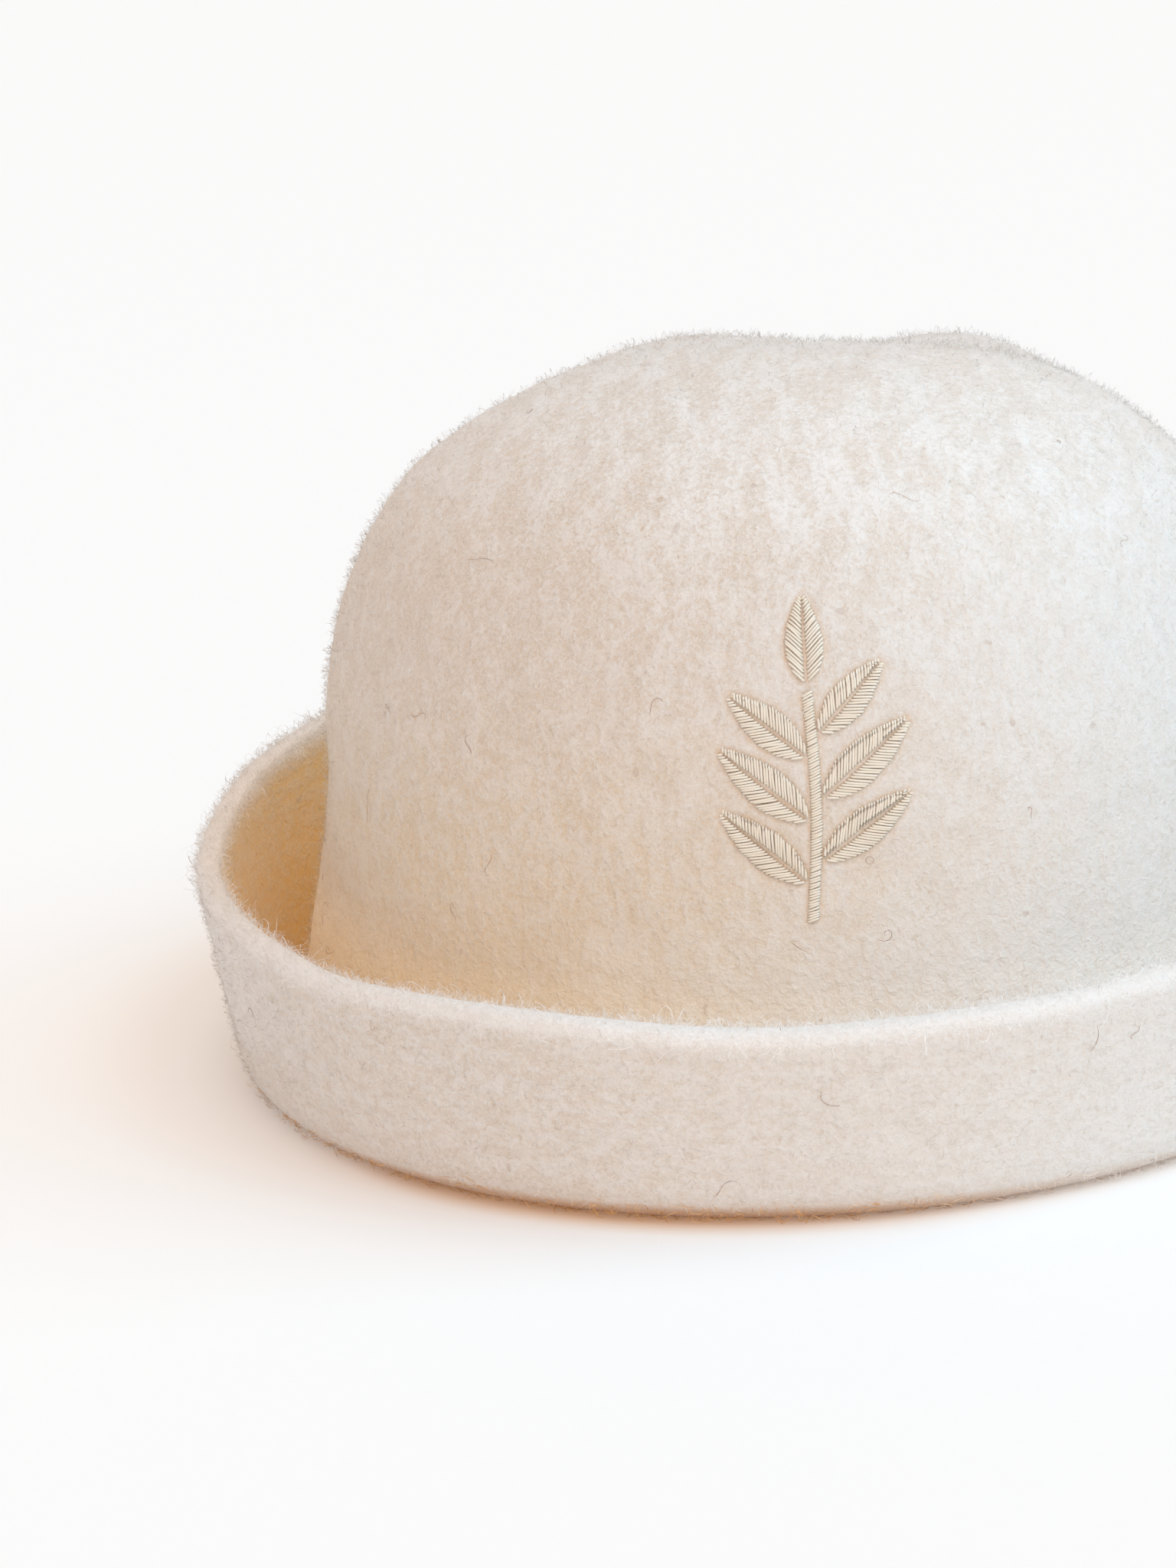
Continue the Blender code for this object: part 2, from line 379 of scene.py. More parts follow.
@dataclass(frozen=True)
class WoolFelt(Finish):
    """Natural wool felt: a pale haze of fibres over a warmer ground, with painted warm bounce light where
    light is trapped.
    """

    name: str = "wool_felt_nap"
    haze: Colour = (0.885, 0.850, 0.815)
    ground: Colour = (0.750, 0.615, 0.480)
    # gold paints warm bounce light, brown and tan paint shade, and the lit colour paints highlights and light
    gold: Colour = (1.000, 0.660, 0.170)
    shade_brown: Colour = (0.520, 0.260, 0.090)
    tan: Colour = (0.780, 0.560, 0.360)
    white: Colour = (0.900, 0.865, 0.825)
    pit: Colour = (0.590, 0.510, 0.430)
    painted_light: Colour = (0.990, 0.970, 0.940)
    speck: Colour = (0.420, 0.250, 0.160)
    tone: GroundTone = GroundTone()
    smudges: Grain = Grain(0.0025, 2.0, 0.55, 0.3)
    blotches: Grain = Grain(0.0040, 1.0, 0.5, 0.3)
    clouds: Grain = Grain(0.0150, 2.0, 0.5, 0.2)
    mottle: Grain = Grain(0.0013, 1.0, 0.6, 0.4)
    gaps: Grain = Grain(0.00075, 2.0, 0.7, 0.3)
    specks: Grain = Grain(0.0032, 1.0, 0.4, 0.0)
    layers: tuple[FibreLayer, ...] = (
        FibreLayer(Grain(0.00075, 1.0, 0.55, 0.7), (0.0, 0.0, 0.0), 0.45),
        FibreLayer(Grain(0.0005625, 1.0, 0.55, 0.9), (0.31, 0.17, 0.05), 0.40),
        FibreLayer(Grain(0.001125, 0.0, 0.55, 0.9), (0.11, 0.27, 0.45), 0.35),
    )
    upright: Triple = (1.08, 0.33, 0.52)  # the crown's smudges are drawn out upward
    level: Triple = (0.50, 0.50, 1.40)  # the brim's smudges are drawn out round the hat
    blotched: float = 0.75  # share of the broad blotches at the top of the crown
    ground_parts: Triple = (0.50, 0.16, 0.34)  # smudges, clouds and mottle in the ground that shows
    ground_edge: Span = (0.40, 0.61)
    tuft_parts: Span = (0.55, 0.45)  # smudges and mottle in the height of the tufts
    tuft_relief: Span = (0.72, 0.0009)  # strength and depth
    fibre_relief: Span = (0.60, 0.00010)
    warm_dimming: float = 0.72  # share of the top's painted highlight that the shaded side lacks
    golden_cover: float = 0.6  # share of the ground and gaps that the painted bounce light hides
    low_cover: float = 0.7  # share of them that the painted light low on the crown hides
    golden_parts: Span = (0.70, 0.30)  # even and patchy painted bounce light
    gap_parts: Span = (0.34, 0.18)  # gaps everywhere, and more on the shaded side as painted shade
    gap_edge: Span = (0.50, 0.78)
    pressed_share: float = 0.55
    fibre_share: float = 0.66
    golden_fibres: float = 0.45  # share of the fibres that the painted bounce light hides
    under_share: float = 0.92
    rim_parts: Span = (0.66, 0.30)  # even painted highlight of the rim, and more on its fibres
    speck_share: float = 0.25
    speck_edge: Span = (0.765, 0.80)
    let_through: float = 0.08  # painted glow for the light that comes through the felt low on the crown

    def _mottle(self, net: Net, place: Wire, turned: Wire, lofty: Wire) -> tuple[Wire, Wire]:
        """The felt's unevenness: where its warm ground shows, and how high its tufts stand.

        Args:
            net: the finish's node tree.
            place: the place on the hat.
            turned: 1 on the brim and 0 on the crown.
            lofty: 1 at the top of the crown.

        Returns:
            The ground's share and the tufts' height, each from 0 to 1.
        """
        upright = net.stretch(place, self.upright)
        crown = net.noise(upright, self.smudges)
        brim = net.noise(net.stretch(place, self.level), self.smudges)
        smudges = crown + (brim - crown) * turned
        clouds, mottle = net.noise(place, self.clouds), net.noise(place, self.mottle)
        smudges = smudges + (net.noise(upright, self.blotches) - smudges) * lofty * self.blotched
        smudged, clouded, mottled = self.ground_parts
        shows = (smudges * smudged + clouds * clouded + mottle * mottled).ease(*self.ground_edge)
        smudged, mottled = self.tuft_parts
        return shows, 1.0 - (smudges * smudged + mottle * mottled)

    def _fibres(self, net: Net, place: Wire) -> Wire:
        """The layers of fine winding fibres that cross each other.

        Args:
            net: the finish's node tree.
            place: the place on the hat.

        Returns:
            1 on a fibre, falling to 0 between fibres.
        """
        total = 0.0
        for layer in self.layers:
            total = total + net.threads(net.shift(place, layer.shift), layer.grain) * layer.share
        return total.at_most(1.0)

    def sockets(self, net: Net) -> dict[str, object]:
        """Lays the nodes of the crown's, fold's and brim's finish.

        Args:
            net: the finish's node tree.

        Returns:
            The surface's inputs, with a number, colour or Wire for each.
        """
        place = net.place()
        fibres = self._fibres(net, place)
        names = ("turned_up", "golden", "warmth", "lofty", "low", "deep")
        turned, golden, warmth, lofty, low, deep = (net.attribute(name) for name in names)
        shows, tufts = self._mottle(net, place, turned, lofty)
        # the ground's share carries painted shade on the shaded side and in its band
        tone = self.tone.at(shows, turned, warmth, lofty, deep)
        # painted light low on the crown and at the top, less so at the top of the shaded side; it also hides
        # some of the ground and gaps
        bare = (1.0 - golden * self.golden_cover) * (1.0 - low * self.low_cover)
        bright = (low + lofty * (1.0 - warmth * warmth * self.warm_dimming)).at_most(1.0)

        colour = net.mix(tone * bare, net.mix(bright, self.haze, self.painted_light), self.ground)
        # painted warm bounce light, as if trapped low on the crown, in the gutter and in the crown's hollow
        even, patchy = self.golden_parts
        colour = net.mix(golden * (even + shows * patchy), colour, self.gold)
        # the gaps grow darker and more frequent on the shaded side: painted shade
        even, warm = self.gap_parts
        gaps = net.noise(place, self.gaps).ease(*self.gap_edge)
        colour = net.mix(gaps * (even + warmth * warm) * bare, colour, self.pit)
        # painted shade in the felt round the stitches, in tan
        colour = net.mix(net.attribute("pressed") * self.pressed_share, colour, self.tan)
        # the painted bounce light hides some of the fibres
        strands = fibres * (self.fibre_share - golden * self.golden_fibres)
        # at the top the fibres take the near-white highlight colour: a painted highlight
        colour = net.mix(strands, colour, net.mix(lofty * lofty, self.white, self.painted_light))
        # painted shade under the fold
        colour = net.mix(net.attribute("under") * self.under_share, colour, self.shade_brown)
        # painted highlight along the rim
        even, fibrous = self.rim_parts
        colour = net.mix(net.attribute("rim") * (even + fibres * fibrous), colour, self.painted_light)
        specks = net.noise(place, self.specks).ease(*self.speck_edge)
        colour = net.mix(specks * self.speck_share, colour, self.speck)
        return {
            "Base Color": colour,
            "Roughness": 0.95,
            "Specular IOR Level": 0.12,
            "Sheen Weight": 0.70,
            "Sheen Roughness": 0.50,
            "Sheen Tint": (1.0, 0.98, 0.95),
            # painted glow low on the crown, standing for light through the felt
            "Emission Color": net.mix(golden * low * (1.0 - turned), BLACK, self.gold),
            "Emission Strength": self.let_through,
            "Normal": net.bump(fibres, *self.fibre_relief, net.bump(tufts, *self.tuft_relief)),
        }


@dataclass(frozen=True)
class LooseWool(Finish):
    """Single fibres of wool that stand off the felt, each of its own shade."""

    name: str
    pale: Colour
    warm: Colour
    # gold paints the felt's warm bounce light onto the fibres
    gold: Colour = (1.000, 0.660, 0.220)
    gold_share: float = 0.85
    bare: Colour = (0.90, 0.87, 0.84)
    bright_side_pale: float = 0.0  # share of the paler wool on the hat's bright side, painted light
    glow: float = 0.03  # painted glow for the light that the thin fibres let through

    def sockets(self, net: Net) -> dict[str, object]:
        """Lays the nodes of the finish of a field of fibres.

        Args:
            net: the finish's node tree.

        Returns:
            The surface's inputs, with a number, colour or Wire for each.
        """
        colour = net.mix(net.attribute("shade"), self.pale, self.warm)
        # painted warm bounce light, taken from the felt at each root
        colour = net.mix(net.attribute("golden") * self.gold_share, colour, self.gold)
        # paler on the bright side: painted light
        colour = net.mix(net.attribute("open_side") * self.bright_side_pale, colour, self.bare)
        return {
            "Base Color": colour,
            "Roughness": 0.75,
            "Specular IOR Level": 0.25,
            "Sheen Weight": 0.30,
            "Sheen Roughness": 0.45,
            # painted glow
            "Emission Color": colour,
            "Emission Strength": self.glow,
        }


@dataclass(frozen=True)
class SatinThread(Finish):
    """Cream embroidery thread with a soft gloss."""

    name: str = "satin_thread"
    pale: Colour = (0.985, 0.925, 0.815)
    warm: Colour = (0.940, 0.855, 0.715)
    ply: Grain = Grain(0.00022, 1.0, 0.5, 0.0)
    ply_share: float = 0.5
    ply_relief: Span = (0.25, 0.00008)  # strength and depth
    stitch_share: float = 0.7  # how much the stitches differ from each other

    def sockets(self, net: Net) -> dict[str, object]:
        """Lays the nodes of the stitches' finish.

        Args:
            net: the finish's node tree.

        Returns:
            The surface's inputs, with a number, colour or Wire for each.
        """
        ply = net.noise(net.place(), self.ply)
        shade = (net.attribute("shade") * self.stitch_share + ply * self.ply_share).at_most(1.0)
        return {
            "Base Color": net.mix(shade, self.pale, self.warm),
            "Roughness": 0.42,
            "Specular IOR Level": 0.45,
            "Sheen Weight": 0.15,
            "Normal": net.bump(ply, *self.ply_relief),
        }


@dataclass(frozen=True)
class PaleFloor(Finish):
    """A plain white studio floor, with a painted warm shadow and a painted warm glow at the hat's foot for
    light that the wool lets through.
    """

    name: str = "studio_floor"
    colour: Colour = (0.85, 0.85, 0.85)
    # the colour of the painted warm shadow round the hat's foot
    foot_shade: Colour = (0.64, 0.44, 0.27)
    glow: Colour = (0.964, 1.0, 1.0)
    # the colour of the painted warm glow at the foot
    foot_glow: Colour = (1.0, 0.62, 0.34)
    glow_strength: float = 0.192
    foot: Span = (0.1035, 0.1107)  # half width and half length of the ring that the hat stands on
    near: Span = (-0.0045, 0.0300)  # distance from the foot over which the painted warm shade fades out
    near_share: float = 0.45
    near_side: Span = (-0.100, 0.020)  # across: the painted warm shade fades out towards the bright side
    # the painted contact shadow right at the foot, weaker on the bright side
    contact: Span = (0.0, 0.0120)
    contact_share: float = 0.90
    contact_fade: float = 0.74
    contact_side: Span = (-0.030, 0.040)
    contact_start: Span = (-0.100, -0.064)

    def sockets(self, net: Net) -> dict[str, object]:
        """Lays the nodes of the floor's finish.

        Args:
            net: the finish's node tree.

        Returns:
            The surface's inputs, with a number, colour or Wire for each.
        """
        place = net.place()
        scaled = net.stretch(place, (1.0 / self.foot[0], 1.0 / self.foot[1], 0.0))
        rings = net.value("VectorMath", {"operation": "LENGTH"}, {"Vector": scaled}, "Value")
        away = (rings - 1.0) * self.foot[1]
        across = net.value("SeparateXYZ", {}, {"Vector": place}, "X")
        # painted warm shade near the foot and a painted contact shadow
        near = 1.0 - away.ease(*self.near)
        near = near * near * (1.0 - across.ease(*self.near_side)) * self.near_share
        contact = self.contact_share - across.ease(*self.contact_side) * self.contact_fade
        contact = (1.0 - away.ease(*self.contact)) * contact * across.ease(*self.contact_start)
        return {
            "Base Color": net.mix(near.at_least(contact), self.colour, self.foot_shade),
            "Roughness": 0.9,
            "Specular IOR Level": 0.1,
            # painted warm glow where the hat meets the floor
            "Emission Color": net.mix(contact, self.glow, self.foot_glow),
            "Emission Strength": self.glow_strength,
        }


class Face(Enum):
    """The faces of the felt: each value says on which side of the middle line it lies."""

    OUTSIDE = 1
    EDGE = 0
    INSIDE = -1


@dataclass(frozen=True)
class RimWave:
    """A regular rise and fall of the rim."""

    count: int
    height: float
    crest: float  # degrees from +X towards +Y


@dataclass(frozen=True)
class RimSag:
    """A stretch of the rim that hangs lower, or with a negative depth stands higher."""

    middle: float  # degrees from +X towards +Y
    spread: float  # degrees to either side
    depth: float


@dataclass(frozen=True)
class Dent:
    """A soft hollow, or with a negative depth a soft swelling."""

    x: float
    y: float
    z: float
    depth: float
    spread: float


@dataclass(frozen=True)
class Ripple:
    """Gentle unevenness: waves of about one length that cross at all angles."""

    length: float
    height: float
    seed: int
    waves: int = 22
    lengths: Span = (0.75, 1.35)  # the shortest and longest wave, as shares of the length

    def at(self, points: Array) -> Array:
        """How far the felt stands proud.

        Args:
            points: places, one a row.

        Returns:
            The rise at each place, in metres.
        """
        chance = np.random.default_rng(self.seed)
        ways = chance.normal(size=(self.waves, 3))
        ways /= np.linalg.norm(ways, axis=1, keepdims=True)
        turns = 2 * math.pi / (self.length * chance.uniform(*self.lengths, self.waves))
        phases = chance.uniform(0, 2 * math.pi, self.waves)
        total = np.zeros(len(points))
        for way, turn, phase in zip(ways, turns, phases):
            total += np.cos(points @ way * turn + phase)
        return self.height * total / math.sqrt(self.waves)


@dataclass(frozen=True)
class Section:
    """Stations along the felt's middle line, seen in section, from the dome's top to the rim."""

    half_width: Array
    height: Array
    run: Array
    rise: Array
    turned_up: Array
    length: Array

    def at(self, lengths: Array) -> "Section":
        """The stations at these distances along the line.

        Args:
            lengths: distances from the dome's top.

        Returns:
            A section with those stations alone.
        """
        columns = (self.half_width, self.height, self.run, self.rise, self.turned_up)
        read = [np.interp(lengths, self.length, column) for column in columns]
        return Section(*read, lengths)

    def brim_start(self) -> float:
        """The distance from the dome's top at which the brim begins."""
        just_turned = 1e-6
        return float(np.interp(just_turned, self.turned_up, self.length))


@dataclass(frozen=True)
class HatForm:
    """The hat's moulded shape, with the felt's nap standing on both faces."""

    felt: float = 0.0030
    crown_nap: float = 0.0002
    brim_nap: float = 0.0007
    crown_half_width: float = 0.0895
    oval: float = 0.0072
    hat_height: float = 0.1322
    shoulder_height: float = 0.0580
    dome_power: float = 2.35
    wall_splay: float = 0.0098
    splay_power: float = 1.4
    foot_width: float = 0.0030
    wall_fold_radius: float = 0.0032
    brim_fold_radius: float = 0.0050
    brim_flare: float = 0.145
    rim_height: float = 0.0440
    held_height: float = 0.007
    free_height: float = 0.020
    steps: int = 240
    short_nap: Span = (0.012, 0.040)  # heights between which the nap shortens up the crown
    wall_margin: float = 0.006
    rim_waves: tuple[RimWave, ...] = (
        RimWave(count=1, height=0.0088, crest=92.0),
        RimWave(count=2, height=0.0008, crest=-45.0),
        RimWave(count=3, height=0.0008, crest=0.0),
        RimWave(count=5, height=0.0004, crest=10.0),
    )
    rim_sags: tuple[RimSag, ...] = (
        RimSag(middle=-137.0, spread=15.0, depth=0.0018),
        RimSag(middle=-112.0, spread=11.0, depth=-0.0009),
    )
    dents: tuple[Dent, ...] = (
        Dent(x=0.018, y=0.021, z=0.134, depth=0.0054, spread=0.052),
        Dent(x=0.004, y=0.046, z=0.129, depth=0.0043, spread=0.038),
        Dent(x=0.037, y=0.024, z=0.120, depth=-0.0037, spread=0.028),
        Dent(x=0.064, y=0.020, z=0.112, depth=0.0024, spread=0.042),
        Dent(x=-0.048, y=0.030, z=0.116, depth=0.0035, spread=0.041),
        Dent(x=-0.050, y=0.027, z=0.124, depth=0.0033, spread=0.047),
        Dent(x=-0.090, y=0.005, z=0.075, depth=0.0020, spread=0.062),
        Dent(x=0.078, y=-0.048, z=0.070, depth=0.0012, spread=0.050),
        Dent(x=-0.045, y=0.082, z=0.075, depth=0.0014, spread=0.055),
        Dent(x=0.050, y=0.070, z=0.100, depth=-0.0010, spread=0.045),
        Dent(x=-0.040, y=-0.115, z=0.025, depth=-0.0008, spread=0.040),
        Dent(x=0.100, y=0.060, z=0.030, depth=0.0012, spread=0.045),
    )
    ripples: tuple[Ripple, ...] = (
        Ripple(length=0.045, height=0.00022, seed=11),
        Ripple(length=0.017, height=0.00014, seed=12),
        Ripple(length=0.008, height=0.00009, seed=13),
    )

    @property
    def half_brim(self) -> float:
        """Half of the brim's thickness, nap included."""
        return self.felt / 2 + self.brim_nap

    def half_thickness(self, height: Array, half_width: Array) -> Array:
        """Half of the felt's thickness with its nap, which is shorter on the crown.

        Args:
            height: heights of stations of the middle line.
            half_width: their half widths.

        Returns:
            Half the thickness at each station.
        """
        on_wall = half_width < self.crown_half_width + self.wall_margin
        short = smooth_step(height, *self.short_nap) * on_wall
        return self.half_brim + (self.crown_nap - self.brim_nap) * short

    def _arc(self, centre: tuple[float, float], radius: float, start: float, end: float) -> Array:
        """Points of an arc in section.

        Args:
            centre: half width and height of its centre.
            radius: its radius.
            start: the first angle in degrees, 0 pointing outward and 90 up.
            end: the last angle.

        Returns:
            Half widths and heights, one point a row.
        """
        angles = np.radians(np.linspace(start, end, self.steps // 4))
        return np.stack([centre[0] + radius * np.cos(angles), centre[1] + radius * np.sin(angles)], 1)

    def middle_line(self) -> Section:
        """The felt's middle line, close enough together to be read as a smooth curve.

        Returns:
            Its stations from the dome's top to the rim.
        """
        half = self.crown_half_width - self.felt / 2
        tall = self.hat_height - self.felt / 2 - self.shoulder_height
        turn = np.linspace(0, math.pi / 2, self.steps)
        power = 2 / self.dome_power
        across = half * np.sin(turn) ** power
        up = self.shoulder_height + tall * np.clip(np.cos(turn), 0, 1) ** power
        dome = np.stack([across, up], 1)

        floor = self.half_brim
        heights = np.linspace(self.shoulder_height, floor + self.wall_fold_radius, self.steps)
        splay = self.wall_splay * (1 - heights / self.shoulder_height) ** self.splay_power
        wall = np.stack([half + splay, heights], 1)

        wall_centre = (wall[-1, 0] + self.wall_fold_radius, floor + self.wall_fold_radius)
        brim_centre = (wall_centre[0] + self.foot_width, floor + self.brim_fold_radius)
        lean = math.degrees(math.atan(self.brim_flare))
        down = self._arc(wall_centre, self.wall_fold_radius, 180, 270)
        round_up = self._arc(brim_centre, self.brim_fold_radius, 270, 360 - lean)

        share = np.linspace(0, 1, self.steps)
        heights = round_up[-1, 1] + (self.rim_height - round_up[-1, 1]) * share
        brim = np.stack([round_up[-1, 0] + self.brim_flare * (heights - round_up[-1, 1]), heights], 1)

        line = np.concatenate([dome, wall[1:], down[1:], round_up, brim[1:]])
        turned = np.concatenate([np.zeros(len(line) - len(brim) + 1), share[1:]])
        way = np.gradient(line, axis=0)
        way /= np.linalg.norm(way, axis=1, keepdims=True)
        way[line[:, 1] < floor + TINY] = (1.0, 0.0)
        length = np.concatenate([[0], np.cumsum(np.linalg.norm(np.diff(line, axis=0), axis=1))])
        return Section(line[:, 0], line[:, 1], way[:, 0], way[:, 1], turned, length)

    def wall_end(self, line: Section) -> float:
        """The distance along the middle line at which the crown's wall meets the fold."""
        return float(line.length[2 * self.steps - 2])

    def rim_rise(self, angle: Array) -> Array:
        """How far the rim stands above its mean height.

        Args:
            angle: angles round the hat in radians.

        Returns:
            The rise at each angle.
        """
        total = np.zeros_like(angle)
        for wave in self.rim_waves:
            total += wave.height * np.cos(wave.count * (angle - math.radians(wave.crest)))
        for sag in self.rim_sags:
            apart = (np.degrees(angle) - sag.middle + 180.0) % 360.0 - 180.0
            total -= sag.depth * np.exp(-((apart / sag.spread) ** 2))
        return total

    def press(self, points: Array, outward: Array) -> Array:
        """Moves points of the felt by its dents and ripples, which the floor holds flat.

        Args:
            points: places, one a row.
            outward: the way that each is moved, one a row.

        Returns:
            The moved places.
        """
        free = np.clip((points[:, 2] - self.held_height) / self.free_height, 0, 1)
        push = np.zeros(len(points))
        for dent in self.dents:
            far = np.linalg.norm(points - (dent.x, dent.y, dent.z), axis=1) / dent.spread
            push -= dent.depth * np.clip(1 - far * far, 0, None) ** 2
        for ripple in self.ripples:
            push += ripple.at(points)
        return points + outward * (push * free)[:, None]

    def place(self, section: Section, angle: Array, reach: float | Array, back: float | Array = 0.0) -> Array:
        """Places in the felt.

        Args:
            section: stations, one for each place.
            angle: the angle of each place round the hat, in radians.
            reach: distance from the middle line, towards the crown's outside if above 0.
            back: distance from the rim back into the brim.

        Returns:
            The places, one a row.
        """
        lift = section.turned_up * self.rim_rise(angle)
        half = section.half_width - section.rise * reach + self.brim_flare * lift - section.run * back
        height = section.height + section.run * reach + lift - section.rise * back
        extra = self.oval * np.minimum(1.0, half / self.crown_half_width)
        points = np.stack([half * np.cos(angle), (half + extra) * np.sin(angle), height], 1)
        outward = np.stack([np.cos(angle), np.sin(angle), np.zeros_like(angle)], 1)
        dome = section.height > self.shoulder_height
        over = points[dome] - (0.0, 0.0, self.shoulder_height)
        outward[dome] = over / np.maximum(np.linalg.norm(over, axis=1, keepdims=True), TINY)
        return self.press(points, outward)

    def crown_width_at(self, height: Array) -> Array:
        """Half width of the crown's outside at some heights.

        Args:
            height: metres above the floor.

        Returns:
            The half widths in metres.
        """
        low = np.clip(1 - height / self.shoulder_height, 0, 1)
        share = np.clip((height - self.shoulder_height) / (self.hat_height - self.shoulder_height), 0, 1)
        dome = self.crown_half_width * (1 - share**self.dome_power) ** (1 / self.dome_power)
        wall = self.crown_half_width + self.wall_splay * low**self.splay_power
        return np.where(height < self.shoulder_height, wall, dome)

    def front(self, x: Array, z: Array) -> Array:
        """Places on the front of the crown's felt, without nap, that are seen at x and z.

        Args:
            x: metres to the right of the hat's middle.
            z: metres above the floor.

        Returns:
            The places, one a row.
        """
        half = self.crown_width_at(z)
        half_length = half + self.oval * np.minimum(1.0, half / self.crown_half_width)
        y = -half_length * np.sqrt(1 - (x / half) ** 2)
        outward = np.stack([x / half, y / half_length, np.zeros_like(x)], 1)
        outward /= np.linalg.norm(outward, axis=1, keepdims=True)
        return self.press(np.stack([x, y, z], 1), outward)

    def front_lifted(self, x: Array, z: Array, lift: Array) -> Array:
        """Places that stand off the front of the crown.

        Args:
            x: places across the front.
            z: heights.
            lift: distance of each from the felt without nap.

        Returns:
            The places, one a row.
        """
        nudge = 0.0005  # between the places that give the felt's slope
        across = self.front(x + nudge, z) - self.front(x - nudge, z)
        up = self.front(x, z + nudge) - self.front(x, z - nudge)
        normal = np.cross(across, up)
        normal /= np.linalg.norm(normal, axis=1, keepdims=True)
        return self.front(x, z) + normal * lift[:, None]


@dataclass(frozen=True)
class Leaf:
    """A leaf of the sprig, in the plane of the front: x across, z up."""

    name: str
    along: float  # share of the stem's length at which it sits
    lean: float  # degrees from the stem's direction, to the right
    length: float
    half_width: float


@dataclass(frozen=True)
class SprigPattern:
    """The drawing that the sprig is stitched over."""

    x: float = 0.0020
    foot: float = 0.0465
    stem_length: float = 0.0370
    stem_half_width: float = 0.0010
    stem_sway: float = 0.0010
    stand_off: float = 0.0019
    tip_share: float = 0.12
    fullness: Span = (0.85, 0.9)  # powers of a leaf's outline
    leaves: tuple[Leaf, ...] = (
        Leaf(name="leaf_left_low", along=0.14, lean=-54.0, length=0.0180, half_width=0.0035),
        Leaf(name="leaf_right_low", along=0.24, lean=50.0, length=0.0180, half_width=0.0035),
        Leaf(name="leaf_left_middle", along=0.42, lean=-52.0, length=0.0185, half_width=0.0037),
        Leaf(name="leaf_right_middle", along=0.52, lean=50.0, length=0.0185, half_width=0.0037),
        Leaf(name="leaf_left_top", along=0.70, lean=-48.0, length=0.0160, half_width=0.0034),
        Leaf(name="leaf_right_top", along=0.80, lean=48.0, length=0.0150, half_width=0.0033),
        Leaf(name="leaf_tip", along=1.0, lean=3.0, length=0.0130, half_width=0.0034),
    )

    def stem_at(self, share: float) -> tuple[Array, Array]:
        """A point of the stem and its direction there.

        Args:
            share: how far along the stem, from 0 to 1.

        Returns:
            The point and the unit direction, each as x and z.
        """
        x = self.x + self.stem_sway * (math.sin(math.pi * share) - (1 - share))
        slope = self.stem_sway * (math.pi * math.cos(math.pi * share) + 1) / self.stem_length
        way = np.array([slope, 1.0])
        return np.array([x, self.foot + self.stem_length * share]), way / np.linalg.norm(way)

    def leaf_axes(self, leaf: Leaf) -> tuple[Array, Array, Array]:
        """Where a leaf begins and how it points.

        Args:
            leaf: the leaf.

        Returns:
            Its base, the way along it and the way across it to the right.
        """
        root, way = self.stem_at(leaf.along)
        turn = math.radians(-leaf.lean)
        along = np.array(
            [
                way[0] * math.cos(turn) - way[1] * math.sin(turn),
                way[0] * math.sin(turn) + way[1] * math.cos(turn),
            ]
        )
        return root + along * self.stand_off, along, np.array([along[1], -along[0]])

    def leaf_width(self, leaf: Leaf, share: Array) -> Array:
        """Half width of a leaf at a share of its length.

        Args:
            leaf: the leaf.
            share: 0 at the leaf's root and 1 at its tip.

        Returns:
            The half widths in metres.
        """
        lean, swell = self.fullness
        bulge = np.sin(math.pi * np.clip(share, 0, 1) ** lean) ** swell
        return leaf.half_width * (self.tip_share + (1 - self.tip_share) * bulge)

    def distance(self, x: Array, z: Array) -> Array:
        """Distance of places from the stitched fields, below 0 inside one.

        Args:
            x: places across the front.
            z: heights.

        Returns:
            The least distance for each place.
        """
        at = np.stack([x, z], 1)
        share = np.clip((z - self.foot) / self.stem_length, 0, 1)
        middle = self.x + self.stem_sway * (np.sin(math.pi * share) - (1 - share))
        past = np.maximum(np.maximum(self.foot - z, z - self.foot - self.stem_length), 0)
        least = np.hypot(np.maximum(np.abs(x - middle) - self.stem_half_width, 0), past)
        inside = (past == 0) & (np.abs(x - middle) < self.stem_half_width)
        least = np.where(inside, np.abs(x - middle) - self.stem_half_width, least)
        for leaf in self.leaves:
            base, along, across = self.leaf_axes(leaf)
            s, q = (at - base) @ along, (at - base) @ across
            side = np.abs(q) - self.leaf_width(leaf, s / leaf.length)
            past = np.maximum(np.maximum(-s, s - leaf.length), 0)
            away = np.where(past > 0, np.hypot(np.maximum(side, 0), past), side)
            least = np.minimum(least, away)
        return least


def spread_rows(length: float, step_at: Callable[[Array], Array], samples: int = 4000) -> Array:
    """Places along a line with a spacing that varies.

    Args:
        length: the line's length.
        step_at: a function that gives the wanted spacing at places along the line.
        samples: how finely the spacing is read.

    Returns:
        The places, from 0 to the line's length.
    """
    along = np.linspace(0, length, samples)
    count = np.concatenate([[0], np.cumsum(1 / step_at((along[1:] + along[:-1]) / 2))])
    count *= length / (samples - 1)
    rows = max(2, round(float(count[-1])))
    return np.interp(np.linspace(0, count[-1], rows + 1), count, along)


def smooth_step(value: Array, start: float, end: float) -> Array:
    """A smooth climb of arrays from 0 at start to 1 at end."""
    share = np.clip((value - start) / (end - start), 0, 1)
    return share * share * (3 - 2 * share)


def open_side(points: Array) -> Array:
    """How far places lie to the bright side of the studio, from 0 to 1."""
    return smooth_step(points[:, 0], *BRIGHT_SIDE)


